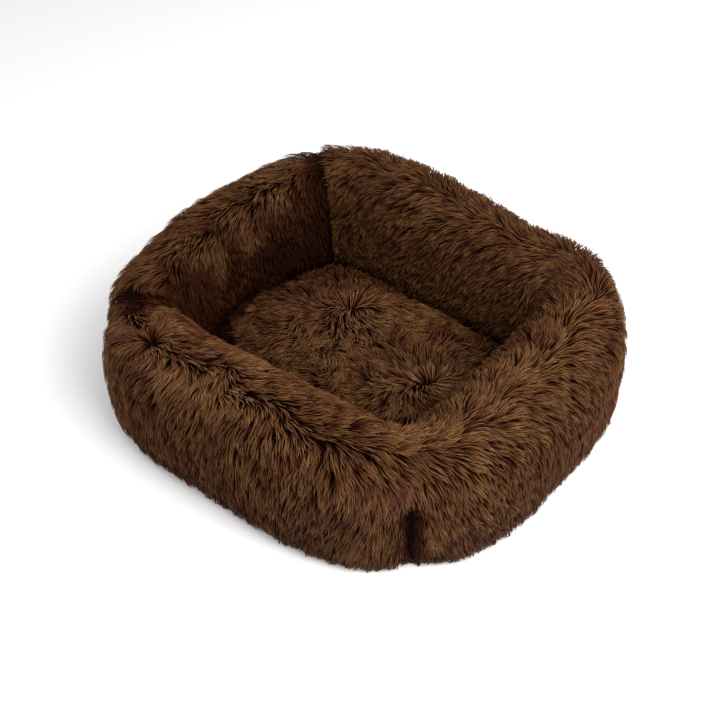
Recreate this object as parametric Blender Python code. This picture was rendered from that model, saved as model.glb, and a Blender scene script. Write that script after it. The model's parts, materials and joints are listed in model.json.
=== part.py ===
"""Shaggy rectangular pet bed: four stuffed walls round a lift-out seat cushion, on a zipped base cloth.

The row frame is in metres, +Z up. The origin is the middle of the footprint on the floor, +X runs
along the longer side and -Y is the front. Every wall is one loft of the same cross-section, turned to
its own side and mitred to its neighbours at the corner seams.
"""

from math import cos, hypot, pi, sin

import bmesh
import bpy
from mathutils import Matrix, Vector

# Overall sizes, over the pile
BED_LENGTH = 0.600
BED_WIDTH = 0.548
WALL_HEIGHT = 0.160
WALL_THICKNESS = 0.136

# Wall cross-section: insets are measured in from the widest outer line
FOOT_TUCK = 0.022
RIDGE_INSET = 0.076
INNER_LEAN = 0.006
BELLY_HEIGHT = 0.080
INNER_BELLY_HEIGHT = 0.100
TOP_FULLNESS = 2.6
FOOT_FULLNESS = 2.8

# Plan radii of the lines that run round the ring of walls
OUTER_RADIUS = 0.212
FOOT_RADIUS = 0.190
RIDGE_RADIUS = 0.058
INNER_RADIUS = 0.040
STRAIGHT_SHARE = 0.50

# How the stuffing gives way at the corner seams, and how it has settled: the ridge's rise at the far end
# of each wall, and for its middle how far it sags and where
SEAM_PINCH = 0.007
SEAM_PINCH_POWER = 8
CORNER_RISE = {"front": 0.000, "right": 0.020, "back": 0.022, "left": -0.012}
CORNER_RISE_POWER = 2
WALL_SAG = {"front": (0.012, -0.33), "right": (0.002, 0.0), "back": (-0.021, 0.25), "left": (-0.018, 0.0)}
SAG_SPREAD = 0.65

# The left wall is squeezed thinner by the seat: how far its inner side stands back at most, and at which Y
WELL_BOW = 0.034
WELL_BOW_Y = -0.030

# Fabric and filling
FUR_THICKNESS = 0.012
CLOTH_THICKNESS = 0.0025
LINING_THICKNESS = 0.0012
FIT_GAP = 0.0005
WALL_ENDS_GAP = 0.0004

# Floor of the bed, under the seat cushion
DECK_HEIGHT = 0.034
CUSHION_EASE = 0.005
CUSHION_TURN = -0.030
CUSHION_HEIGHT = 0.046
CUSHION_CROWN = 0.014
CUSHION_CORNER_RADIUS = 0.050
CUSHION_EDGE_RADIUS = 0.022

# Zip in the base cloth: the coils stand a post's width apart, so that the slider can travel, and the
# tapes run on past the right stop, so that the pull still lies in the slot at the end of its way
ZIP_END_EASE = 0.012
ZIP_FROM_WELL = 0.030
ZIP_SLOT_WIDTH = 0.014
ZIP_COIL_HEIGHT = 0.0020
ZIP_COIL_WIDTH = 0.0022
ZIP_COIL_GAP = 0.0014
ZIP_CENTRE_Z = 0.0050
TAPE_THICKNESS = 0.0006
TAPE_WIDTH = 0.0120
STOP_LENGTH = 0.0040
SLIDER_LENGTH = 0.0120
SLIDER_WALL = 0.0010
SLIDER_PLAY = 0.0003
POST_LENGTH = 0.0030
BRIDGE_LENGTH = 0.0048
BRIDGE_WIDTH = 0.0012
BRIDGE_WALL = 0.0008
BRIDGE_FOOT_Z = 0.0004
PULL_LENGTH = 0.0240
PULL_WIDTH = 0.0060
PULL_THICKNESS = 0.0009
PULL_ARM_WIDTH = 0.0014
PULL_EYE_LENGTH = 0.0032
PULL_ROOM = 0.0180

# Mesh fineness
WALL_STATIONS = 22
SECTION_STEPS = 5
CORNER_STEPS = 6
SIDE_STEPS = 8

WALLS = ("front", "right", "back", "left")
COLOURS = {
    "fur": ((0.115, 0.055, 0.027, 1.0), 0.85, 0.0),
    "lining": ((0.060, 0.036, 0.024, 1.0), 0.90, 0.0),
    "filling": ((0.800, 0.790, 0.760, 1.0), 0.95, 0.0),
    "base_cloth": ((0.022, 0.018, 0.016, 1.0), 0.80, 0.0),
    "zip_tape": ((0.030, 0.020, 0.015, 1.0), 0.85, 0.0),
    "zip_coil": ((0.035, 0.024, 0.018, 1.0), 0.45, 0.0),
    "zip_metal": ((0.320, 0.300, 0.270, 1.0), 0.35, 1.0),
}

BELLY_X = BED_LENGTH / 2
BELLY_Y = BED_WIDTH / 2
CLOTH_TOP = CLOTH_THICKNESS + FIT_GAP
WELL_X = BELLY_X - WALL_THICKNESS - INNER_LEAN
WELL_Y = BELLY_Y - WALL_THICKNESS - INNER_LEAN
ZIP_LENGTH = 2 * (WELL_X - ZIP_END_EASE)
ZIP_Y = WELL_Y - ZIP_FROM_WELL


def clear_scene():
    """Removes whatever the scene holds."""
    for thing in list(bpy.data.objects):
        bpy.data.objects.remove(thing, do_unlink=True)


def collection(name):
    """A new collection, linked to the scene."""
    made = bpy.data.collections.new(name)
    bpy.context.scene.collection.children.link(made)
    return made


def material(slot):
    """The Principled material of one slot, made once."""
    if slot in bpy.data.materials:
        return bpy.data.materials[slot]
    colour, roughness, metallic = COLOURS[slot]
    made = bpy.data.materials.new(slot)
    made.use_nodes = True
    shader = made.node_tree.nodes["Principled BSDF"]
    shader.inputs["Base Color"].default_value = colour
    shader.inputs["Roughness"].default_value = roughness
    shader.inputs["Metallic"].default_value = metallic
    return made


def add(name, data, slot, parent=None, at=(0, 0, 0)):
    """An object of the bed, placed relative to its parent."""
    made = bpy.data.objects.new(name, data)
    data.materials.append(material(slot))
    bpy.data.collections["pet_bed"].objects.link(made)
    made.parent = parent
    made.location = at
    return made


def empty(name, at, parent=None):
    """The empty that a moving piece hangs on, at its joint."""
    made = bpy.data.objects.new(name, None)
    bpy.data.collections["pet_bed"].objects.link(made)
    made.parent = parent
    made.location = at
    return made


def loft(name, rings, slot, parent=None, turn=0, banded=False):
    """A closed body through rings of equal count, capped at both ends; a banded ring runs out and back."""
    mesh = bpy.data.meshes.new(name)
    body = bmesh.new()
    rows = [[body.verts.new(point) for point in ring] for ring in rings]
    for lower, upper in zip(rows, rows[1:]):
        for k in range(len(lower)):
            after = (k + 1) % len(lower)
            body.faces.new((lower[k], lower[after], upper[after], upper[k]))
    for row in (rows[0], rows[-1]):
        if banded:
            for k in range(len(row) // 2 - 1):
                body.faces.new((row[k], row[k + 1], row[-k - 2], row[-k - 1]))
        else:
            body.faces.new(row)
    bmesh.ops.triangulate(body, faces=body.faces, quad_method="SHORT_EDGE")
    bmesh.ops.recalc_face_normals(body, faces=body.faces)
    body.transform(Matrix.Rotation(turn * pi / 2, 4, "Z"))
    body.to_mesh(mesh)
    body.free()
    mesh.shade_smooth()
    return add(name, mesh, slot, parent)


def box(name, low, high, slot, parent=None):
    """A block between two corners, from the cube primitive."""
    mesh = bpy.data.meshes.new(name)
    body = bmesh.new()
    size = [b - a for a, b in zip(low, high)]
    middle = [(a + b) / 2 for a, b in zip(low, high)]
    bmesh.ops.create_cube(body, size=1, matrix=Matrix.Translation(middle) @ Matrix.Diagonal((*size, 1)))
    body.to_mesh(mesh)
    body.free()
    return add(name, mesh, slot, parent)


def cutter(low, high):
    """A hidden block for a Boolean."""
    made = box("cutter", low, high, "zip_metal")
    bpy.data.collections["pet_bed"].objects.unlink(made)
    bpy.data.collections["cutters"].objects.link(made)
    made.hide_render = True
    made.display_type = "WIRE"
    return made


def change(target, other, operation):
    """A Boolean modifier that cuts or joins another object."""
    modifier = target.modifiers.new(operation.lower(), "BOOLEAN")
    modifier.operation = operation
    modifier.object = other
    modifier.solver = "EXACT"


def rounded_rectangle(half_x, half_y, radius, steps=CORNER_STEPS):
    """Plan outline, anticlockwise from +X, with each corner an arc and points along each side."""
    points = []
    for quarter in range(4):
        sign_x = 1 if quarter in (0, 3) else -1
        sign_y = 1 if quarter in (0, 1) else -1
        for step in range(steps + 1):
            angle = (quarter + step / steps) * pi / 2
            x = sign_x * (half_x - radius) + radius * cos(angle)
            y = sign_y * (half_y - radius) + radius * sin(angle)
            points.append(Vector((x, y)))
    outline = []
    for index, point in enumerate(points):
        outline.append(tuple(point))
        if index % (steps + 1) == steps:
            after = points[(index + 1) % len(points)]
            outline += [tuple(point.lerp(after, step / SIDE_STEPS)) for step in range(1, SIDE_STEPS)]
    return outline


def bow(y):
    """How far the left wall's inner side stands back at this Y."""
    side = WELL_Y - WELL_BOW_Y if y > WELL_BOW_Y else WELL_Y + WELL_BOW_Y
    share = min(1.0, abs(y - WELL_BOW_Y) / side)
    return WELL_BOW * (1 - share**2) ** 2


def bowed(outline):
    """An outline whose left part reaches out to the left wall's inner side."""
    return [(x - bow(y) * min(1.0, max(0.0, -x / (WELL_X - CUSHION_EASE))) ** 2, y) for x, y in outline]


def plate(name, outline, low, high, slot, holes=(), parent=None):
    """A flat sheet between two heights, from a filled 2D curve whose inner splines are holes."""
    curve = bpy.data.curves.new(name, "CURVE")
    curve.dimensions = "2D"
    curve.fill_mode = "BOTH"
    curve.extrude = (high - low) / 2
    for points in (outline, *holes):
        spline = curve.splines.new("POLY")
        spline.points.add(len(points) - 1)
        spline.use_cyclic_u = True
        for target, (x, y) in zip(spline.points, points):
            target.co = (x, y, 0, 1)
    return add(name, curve, slot, parent, at=(0, 0, (low + high) / 2))


def as_mesh(piece):
    """The same piece as a mesh with its caps welded, so that a Boolean can cut it."""
    bpy.context.view_layer.update()
    graph = bpy.context.evaluated_depsgraph_get()
    mesh = bpy.data.meshes.new_from_object(piece.evaluated_get(graph))
    body = bmesh.new()
    body.from_mesh(mesh)
    bmesh.ops.remove_doubles(body, verts=body.verts, dist=0.00001)
    body.to_mesh(mesh)
    body.free()
    name, matrix = piece.name, piece.matrix_world.copy()
    bpy.data.objects.remove(piece, do_unlink=True)
    made = bpy.data.objects.new(name, mesh)
    bpy.data.collections["pet_bed"].objects.link(made)
    made.matrix_world = matrix
    return made


def line_at(along, half_x, half_y, radius):
    """A point of a rounded plan line on the front side: along is -1 and 1 at the corner seams."""
    share = abs(along)
    side = 1 if along > 0 else -1
    if share <= STRAIGHT_SHARE:
        return side * (half_x - radius) * share / STRAIGHT_SHARE, half_y
    angle = pi / 4 * (share - STRAIGHT_SHARE) / (1 - STRAIGHT_SHARE)
    return side * (half_x - radius + radius * sin(angle)), half_y - radius + radius * cos(angle)


def quadrant(steps, fullness, start, centre, end):
    """Points of a superellipse quadrant from start to end, without its last point."""
    power = 2 / fullness
    points = []
    for step in range(steps):
        angle = pi / 2 * step / steps
        towards_start = cos(angle) ** power
        towards_end = sin(angle) ** power
        points.append(centre + (start - centre) * towards_start + (end - centre) * towards_end)
    return points


class WallShape:
    """The cross-section of one wall at any place along it, at any depth under the pile's surface."""

    def __init__(self, name):
        """Takes the plan sizes as this wall sees them, with X along the wall and Y towards the front."""
        self.turn = WALLS.index(name)
        along_x = self.turn % 2 == 0
        self.half_x, self.half_y = (BELLY_X, BELLY_Y) if along_x else (BELLY_Y, BELLY_X)
        self.bows = name == "left"
        self.sag, self.sag_at = WALL_SAG[name]
        self.rise_after = CORNER_RISE[name]
        self.rise_before = CORNER_RISE[WALLS[self.turn - 1]]

    def line(self, along, inset, radius, height):
        """A point of the line that runs round the ring at this inset and height."""
        x, y = line_at(along, self.half_x - inset, self.half_y - inset, radius)
        x -= WALL_ENDS_GAP * along
        return Vector((x, -y, height))

    def give(self, along):
        """How far the surface is pulled in by the corner seams, and how far the ridge drops."""
        pinch = SEAM_PINCH * abs(along) ** SEAM_PINCH_POWER
        rise = self.rise_after if along > 0 else self.rise_before
        drop = -rise * abs(along) ** CORNER_RISE_POWER
        drop += self.sag * max(0.0, 1 - ((along - self.sag_at) / SAG_SPREAD) ** 2) ** 2
        return pinch, drop

    def corners(self, along, depth):
        """Foot, belly, ridge, inner belly and inner foot of the section, this deep under the surface."""
        pinch, drop = self.give(along)
        deep = depth + pinch
        foot = self.line(along, FOOT_TUCK + deep, FOOT_RADIUS - deep, CLOTH_TOP)
        belly = self.line(along, deep, OUTER_RADIUS - deep, BELLY_HEIGHT)
        ridge = self.line(along, RIDGE_INSET, RIDGE_RADIUS, WALL_HEIGHT - drop - depth)
        inner = WALL_THICKNESS - deep
        inner_belly = self.line(along, inner, INNER_RADIUS, INNER_BELLY_HEIGHT)
        inner_foot = self.line(along, inner + INNER_LEAN, INNER_RADIUS, CLOTH_TOP)
        if self.bows:
            for point in (inner_belly, inner_foot):
                point.y -= bow(-point.x)
        return foot, belly, ridge, inner_belly, inner_foot

    def outer(self, along, depth):
        """Points from the outer foot up to the ridge."""
        foot, belly, ridge, _, _ = self.corners(along, depth)
        low_centre = Vector((foot.x, foot.y, belly.z))
        top_centre = Vector((ridge.x, ridge.y, belly.z))
        return [
            *quadrant(SECTION_STEPS, FOOT_FULLNESS, foot, low_centre, belly),
            *quadrant(SECTION_STEPS, TOP_FULLNESS, belly, top_centre, ridge),
            ridge,
        ]

    def inner(self, along, depth, foot_height=CLOTH_TOP):
        """Points from the ridge down to the inner foot."""
        _, _, ridge, belly, foot = self.corners(along, depth)
        top_centre = Vector((ridge.x, ridge.y, belly.z))
        points = quadrant(SECTION_STEPS, TOP_FULLNESS, ridge, top_centre, belly)
        share = (belly.z - foot_height) / (belly.z - foot.z)
        end = belly.lerp(foot, share)
        return [*points, belly, belly.lerp(end, 0.5), end]

    def stations(self):
        """Places along the wall from one corner seam to the other, closer together near the seams."""
        places = [2 * k / WALL_STATIONS - 1 for k in range(WALL_STATIONS + 1)]
        return [1.5 * place - 0.5 * place**3 for place in places]

    def outer_panel_rings(self):
        """Closed outlines of the fur panel that covers the wall's outer side."""
        rings = []
        for along in self.stations():
            outside = self.outer(along, 0)
            inside = self.outer(along, FUR_THICKNESS)
            rings.append(outside + inside[::-1])
        return rings

    def inner_panel_rings(self):
        """Closed outlines of the fur panel that covers the top's inner half and the inner side."""
        rings = []
        for along in self.stations():
            outside = self.inner(along, 0, DECK_HEIGHT + FIT_GAP)
            inside = self.inner(along, FUR_THICKNESS, DECK_HEIGHT + FIT_GAP)
            ring = outside + inside[::-1]
            inward = self.inward(along) * FIT_GAP
            rings.append([ring[0] + inward, *ring[1:-1], ring[-1] + inward])
        return rings

    def inward(self, along):
        """Unit plan direction from the outer line to the inner line."""
        _, belly, _, inner_belly, _ = self.corners(along, 0)
        step = inner_belly - belly
        return Vector((step.x, step.y, 0)) / hypot(step.x, step.y)

    def filling_rings(self):
        """Closed outlines of the stuffing inside the panels."""
        depth = FUR_THICKNESS + FIT_GAP
        return [self.outer(a, depth) + self.inner(a, depth)[1:] for a in self.stations()]


def build_walls():
    """Each wall's two fur panels and its stuffing."""
    for turn, name in enumerate(WALLS):
        shape = WallShape(name)
        loft(f"{name}_wall_outer_panel", shape.outer_panel_rings(), "fur", turn=turn, banded=True)
        loft(f"{name}_wall_inner_panel", shape.inner_panel_rings(), "fur", turn=turn, banded=True)
        loft(f"{name}_wall_filling", shape.filling_rings(), "filling", turn=turn)


def wall_outline(corner, depth):
    """A line round the ring of walls, seen from above: corner 0 is the outer foot and 4 the inner foot."""
    outline = []
    for turn, name in enumerate(WALLS):
        shape = WallShape(name)
        for along in shape.stations()[1:]:
            foot = Matrix.Rotation(turn * pi / 2, 3, "Z") @ shape.corners(along, depth)[corner]
            outline.append((foot.x, foot.y))
    return outline


def build_floor():
    """The base cloth with its zip slot, the pad over it and the lining on top."""
    slot_half = ZIP_LENGTH / 2 + STOP_LENGTH
    slot = [
        (-slot_half, ZIP_Y - ZIP_SLOT_WIDTH / 2),
        (slot_half, ZIP_Y - ZIP_SLOT_WIDTH / 2),
        (slot_half, ZIP_Y + ZIP_SLOT_WIDTH / 2),
        (-slot_half, ZIP_Y + ZIP_SLOT_WIDTH / 2),
    ]
    plate("base_cloth", wall_outline(0, 0), 0, CLOTH_THICKNESS, "base_cloth", holes=[slot])

    outline = wall_outline(4, FUR_THICKNESS)
    pad_top = DECK_HEIGHT - LINING_THICKNESS - FIT_GAP
    pad = as_mesh(plate("floor_pad", outline, CLOTH_TOP, pad_top, "filling"))
    groove_half = TAPE_WIDTH + ZIP_COIL_GAP / 2 + ZIP_COIL_WIDTH + FIT_GAP
    groove_top = ZIP_CENTRE_Z + ZIP_COIL_HEIGHT / 2 + SLIDER_PLAY + SLIDER_WALL + FIT_GAP
    low = (-BED_LENGTH / 2, ZIP_Y - groove_half, 0)
    high = (BED_LENGTH / 2, ZIP_Y + groove_half, groove_top)
    change(pad, cutter(low, high), "DIFFERENCE")
    plate("floor_lining", outline, DECK_HEIGHT - LINING_THICKNESS, DECK_HEIGHT, "lining")


def cushion_rings(depth, low, high):
    """Rounded outlines from the middle of the crowned top, down the side, to the bottom edge."""
    half_x = WELL_X - CUSHION_EASE - depth
    half_y = WELL_Y - CUSHION_EASE - depth
    radius = CUSHION_CORNER_RADIUS - depth
    edge = CUSHION_EDGE_RADIUS - depth
    rings = []
    for share in (0.12, 0.45, 0.75):
        flat_x, flat_y = half_x - edge, half_y - edge
        crown = CUSHION_CROWN * (1 - share**2)
        outline = rounded_rectangle(flat_x * share, flat_y * share, (radius - edge / 2) * share)
        rings.append([(x, y, high - CUSHION_CROWN + crown) for x, y in bowed(outline)])
    for step in range(5):
        angle = pi / 2 * step / 4
        pull = edge * (1 - sin(angle))
        outline = rounded_rectangle(half_x - pull, half_y - pull, radius - pull / 2)
        rings.append([(x, y, high - CUSHION_CROWN - edge * (1 - cos(angle))) for x, y in bowed(outline)])
    rings.append([(x, y, low) for x, y, _ in rings[-1]])
    return rings


def build_cushion():
    """The lift-out seat cushion: fur top, plain bottom and the stuffing between them."""
    low = DECK_HEIGHT + FIT_GAP
    high = low + CUSHION_HEIGHT
    hook = empty("seat_cushion", (0, 0, 0))
    hook.rotation_euler.z = CUSHION_TURN
    bottom_top = low + LINING_THICKNESS
    outside = cushion_rings(0, bottom_top + FIT_GAP, high)
    inside = cushion_rings(FUR_THICKNESS, bottom_top + FIT_GAP, high - FUR_THICKNESS)
    loft("cushion_top_panel", outside + inside[::-1], "fur", hook)
    stuffing = FUR_THICKNESS + FIT_GAP
    loft("cushion_filling", cushion_rings(stuffing, bottom_top + FIT_GAP, high - stuffing), "filling", hook)
    outline = rounded_rectangle(WELL_X - CUSHION_EASE, WELL_Y - CUSHION_EASE, CUSHION_CORNER_RADIUS)
    plate("cushion_bottom_panel", bowed(outline), low, bottom_top, "lining", parent=hook)


def build_zip():
    """The two tapes and coils, their end stops, and the slider with its swinging pull."""
    half = ZIP_LENGTH / 2
    last = half - PULL_ROOM
    for side, name in ((-1, "front"), (1, "rear")):
        near = ZIP_Y + side * ZIP_COIL_GAP / 2
        far = near + side * ZIP_COIL_WIDTH
        edge = far + side * TAPE_WIDTH
        low_y, high_y = sorted((near, far))
        coil_low = (-half, low_y, ZIP_CENTRE_Z - ZIP_COIL_HEIGHT / 2)
        box(f"zip_coil_{name}", coil_low, (last, high_y, ZIP_CENTRE_Z + ZIP_COIL_HEIGHT / 2), "zip_coil")
        low_y, high_y = sorted((far + side * FIT_GAP / 2, edge))
        tape_low = (-half - STOP_LENGTH, low_y, ZIP_CENTRE_Z - TAPE_THICKNESS / 2)
        tape_high = (half + STOP_LENGTH, high_y, ZIP_CENTRE_Z + TAPE_THICKNESS / 2)
        box(f"zip_tape_{name}", tape_low, tape_high, "zip_tape")
    reach = ZIP_COIL_GAP / 2 + ZIP_COIL_WIDTH
    for start, name in ((-half - STOP_LENGTH, "left"), (last, "right")):
        low_x, high_x = start + FIT_GAP, start + STOP_LENGTH - FIT_GAP
        low = (low_x, ZIP_Y - reach, ZIP_CENTRE_Z - ZIP_COIL_HEIGHT / 2)
        box(f"zip_stop_{name}", low, (high_x, ZIP_Y + reach, ZIP_CENTRE_Z + ZIP_COIL_HEIGHT / 2), "zip_metal")
    build_slider(reach)


def build_slider(reach):
    """The slider round both coils, closed end first, and its pull tab lying along the zip."""
    at_x = -ZIP_LENGTH / 2 + SLIDER_LENGTH / 2 + FIT_GAP
    hook = empty("zip_slider_joint", (at_x, ZIP_Y, 0))
    inside_y = reach + SLIDER_PLAY
    outside_y = inside_y + SLIDER_WALL
    inside_z = ZIP_COIL_HEIGHT / 2 + SLIDER_PLAY
    outside_z = inside_z + SLIDER_WALL
    tape_z = TAPE_THICKNESS / 2 + SLIDER_PLAY
    long = SLIDER_LENGTH / 2
    post_y = ZIP_COIL_GAP / 2 - SLIDER_PLAY

    def block(name, low, high):
        return box(name, (low[0], low[1], ZIP_CENTRE_Z + low[2]), (high[0], high[1], ZIP_CENTRE_Z + high[2]),
                   "zip_metal", hook)

    slider = block("zip_slider", (-long, -outside_y, -outside_z), (long, outside_y, outside_z))
    bpy.context.view_layer.update()

    def slot(low, high):
        base = Vector((at_x, ZIP_Y, ZIP_CENTRE_Z))
        change(slider, cutter(base + Vector(low), base + Vector(high)), "DIFFERENCE")

    past = SLIDER_LENGTH
    for side in (-1, 1):
        low_y, high_y = sorted((side * post_y, side * inside_y))
        slot((-past, low_y, -inside_z), (past, high_y, inside_z))
        low_y, high_y = sorted((side * post_y, side * (outside_y + SLIDER_WALL)))
        slot((-past, low_y, -tape_z), (past, high_y, tape_z))
    slot((-past, -inside_y, -inside_z), (long - POST_LENGTH, inside_y, inside_z))

    plate_z = ZIP_CENTRE_Z - outside_z
    half_bridge = BRIDGE_LENGTH / 2
    window_top = plate_z + SLIDER_WALL / 2
    bridge = cutter((at_x - half_bridge, ZIP_Y - BRIDGE_WIDTH / 2, BRIDGE_FOOT_Z),
                    (at_x + half_bridge, ZIP_Y + BRIDGE_WIDTH / 2, window_top))
    bridge.name = "bridge"
    window = cutter((at_x - half_bridge + BRIDGE_WALL, ZIP_Y - BRIDGE_WIDTH, BRIDGE_FOOT_Z + BRIDGE_WALL),
                    (at_x + half_bridge - BRIDGE_WALL, ZIP_Y + BRIDGE_WIDTH, plate_z))
    change(bridge, window, "DIFFERENCE")
    change(slider, bridge, "UNION")
    build_pull(hook, plate_z, half_bridge)


def build_pull(hook, plate_z, half_bridge):
    """The pull tab, hinged on the bar that passes through the slider's bridge."""
    axis_x = half_bridge - BRIDGE_WALL - PULL_THICKNESS
    axis_z = (plate_z + BRIDGE_FOOT_Z + BRIDGE_WALL) / 2
    pivot = empty("zip_pull_joint", (axis_x, 0, axis_z), hook)
    bar = PULL_THICKNESS / 2
    low = (-bar, -PULL_WIDTH / 2, -bar)
    pull = box("zip_pull", low, (PULL_LENGTH, PULL_WIDTH / 2, bar), "zip_metal", pivot)
    bpy.context.view_layer.update()
    base = pivot.matrix_world.translation
    eye_y = PULL_WIDTH / 2 - PULL_ARM_WIDTH
    eye_low = base + Vector((bar, -eye_y, -PULL_WIDTH))
    eye_high = base + Vector((bar + PULL_EYE_LENGTH, eye_y, PULL_WIDTH))
    change(pull, cutter(eye_low, eye_high), "DIFFERENCE")


def main():
    """Builds the whole bed."""
    clear_scene()
    collection("pet_bed")
    cutters = collection("cutters")
    build_floor()
    build_walls()
    build_cushion()
    build_zip()
    cutters.hide_render = True


main()
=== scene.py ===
"""Dresses the shaggy pet bed: stuffed walls and seat under a long pile, the base cloth and its zip.

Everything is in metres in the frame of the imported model: +X along the longer side, -Y is the front.
"""

import json
import logging
import math
from dataclasses import dataclass, field
from enum import Enum
from typing import Any

import bmesh
import bpy
import numpy as np
from mathutils import Matrix, Vector

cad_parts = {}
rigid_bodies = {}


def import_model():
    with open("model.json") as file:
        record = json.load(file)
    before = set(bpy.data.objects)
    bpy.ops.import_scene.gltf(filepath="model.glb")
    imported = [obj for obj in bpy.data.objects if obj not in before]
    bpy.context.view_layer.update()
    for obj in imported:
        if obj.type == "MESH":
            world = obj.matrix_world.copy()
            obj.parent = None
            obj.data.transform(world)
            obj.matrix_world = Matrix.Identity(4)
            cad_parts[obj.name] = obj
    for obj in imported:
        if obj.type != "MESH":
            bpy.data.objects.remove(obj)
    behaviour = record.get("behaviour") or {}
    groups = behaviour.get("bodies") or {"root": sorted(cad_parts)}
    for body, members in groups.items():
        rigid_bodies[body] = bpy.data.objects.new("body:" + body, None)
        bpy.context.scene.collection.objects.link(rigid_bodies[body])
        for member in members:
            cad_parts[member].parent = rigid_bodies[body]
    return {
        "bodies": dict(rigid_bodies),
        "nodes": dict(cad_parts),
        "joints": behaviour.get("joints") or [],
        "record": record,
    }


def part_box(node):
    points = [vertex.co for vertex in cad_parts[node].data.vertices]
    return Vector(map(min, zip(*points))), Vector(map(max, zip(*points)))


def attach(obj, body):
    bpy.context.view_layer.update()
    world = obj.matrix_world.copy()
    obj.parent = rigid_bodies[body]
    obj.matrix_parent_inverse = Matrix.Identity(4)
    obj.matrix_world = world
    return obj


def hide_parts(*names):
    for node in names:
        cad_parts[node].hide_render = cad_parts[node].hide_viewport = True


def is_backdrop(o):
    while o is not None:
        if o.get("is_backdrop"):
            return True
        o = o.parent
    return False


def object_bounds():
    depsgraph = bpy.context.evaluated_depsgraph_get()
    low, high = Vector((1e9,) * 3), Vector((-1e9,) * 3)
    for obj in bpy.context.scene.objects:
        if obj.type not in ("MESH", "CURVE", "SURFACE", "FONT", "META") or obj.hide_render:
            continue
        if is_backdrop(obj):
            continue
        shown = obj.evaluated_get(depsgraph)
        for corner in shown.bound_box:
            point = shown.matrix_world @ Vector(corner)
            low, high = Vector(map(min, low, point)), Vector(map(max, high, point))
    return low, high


LOG = logging.getLogger("pet_bed")
PILE_MAP = "OFBake"
WELD = 0.00002
CLOTH_SHARP = math.radians(40.0)
METAL_SHARP = math.radians(50.0)
Colour = tuple[float, float, float, float]
Triple = tuple[float, float, float]


class Wall(Enum):
    """The four walls, each with its quarter turns from the front."""

    FRONT = 0
    RIGHT = 1
    BACK = 2
    LEFT = 3

    @property
    def label(self) -> str:
        """The wall's name as the frame's nodes use it."""
        return self.name.lower()


class Side(Enum):
    """The two fur panels of a wall, which meet at the ridge seam."""

    OUTER = "outer"
    INNER = "inner"


# --------------------------------------------------------------------------------------------------
# Node graphs


@dataclass(frozen=True)
class Wire:
    """An output socket in a graph."""

    graph: "Graph"
    socket: Any


class Number(Wire):
    """A scalar output: arithmetic on it adds Math nodes."""

    def _math(self, operation: str, first: Any, second: Any) -> "Number":
        """Adds one Math node.

        Args:
            operation: The Math node's operation.
            first: Its first input.
            second: Its second input.

        Returns:
            The node's output.
        """
        return self.graph.math(operation, first, second)

    def __add__(self, other: Any) -> "Number":
        """Sum."""
        return self._math("ADD", self, other)

    __radd__ = __add__

    def __sub__(self, other: Any) -> "Number":
        """Difference."""
        return self._math("SUBTRACT", self, other)

    def __rsub__(self, other: Any) -> "Number":
        """Reflected difference."""
        return self._math("SUBTRACT", other, self)

    def __mul__(self, other: Any) -> "Number":
        """Product."""
        return self._math("MULTIPLY", self, other)

    __rmul__ = __mul__

    def __truediv__(self, other: Any) -> "Number":
        """Quotient."""
        return self._math("DIVIDE", self, other)

    def __rtruediv__(self, other: Any) -> "Number":
        """Reflected quotient."""
        return self._math("DIVIDE", other, self)

    def __pow__(self, other: Any) -> "Number":
        """Power."""
        return self._math("POWER", self, other)


class Arrow(Wire):
    """A vector output: arithmetic on it adds Vector Math nodes."""

    def __add__(self, other: Any) -> "Arrow":
        """Sum."""
        return self.graph.vector("ADD", self, other)

    def __sub__(self, other: Any) -> "Arrow":
        """Difference."""
        return self.graph.vector("SUBTRACT", self, other)

    def __mul__(self, other: Any) -> "Arrow":
        """This vector times a number."""
        node = self.graph.node("ShaderNodeVectorMath", {"operation": "SCALE"}, {0: self, "Scale": other})
        return Arrow(self.graph, node.outputs["Vector"])

    def dot(self, other: Any) -> Number:
        """Dot product."""
        node = self.graph.node("ShaderNodeVectorMath", {"operation": "DOT_PRODUCT"}, {0: self, 1: other})
        return Number(self.graph, node.outputs["Value"])

    def cross(self, other: Any) -> "Arrow":
        """Cross product."""
        return self.graph.vector("CROSS_PRODUCT", self, other)

    def unit(self) -> "Arrow":
        """The same direction, one long."""
        node = self.graph.node("ShaderNodeVectorMath", {"operation": "NORMALIZE"}, {0: self})
        return Arrow(self.graph, node.outputs["Vector"])

    def parts(self) -> tuple[Number, Number, Number]:
        """Its three components."""
        node = self.graph.node("ShaderNodeSeparateXYZ", {}, {0: self})
        return tuple(Number(self.graph, node.outputs[k]) for k in range(3))


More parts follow.
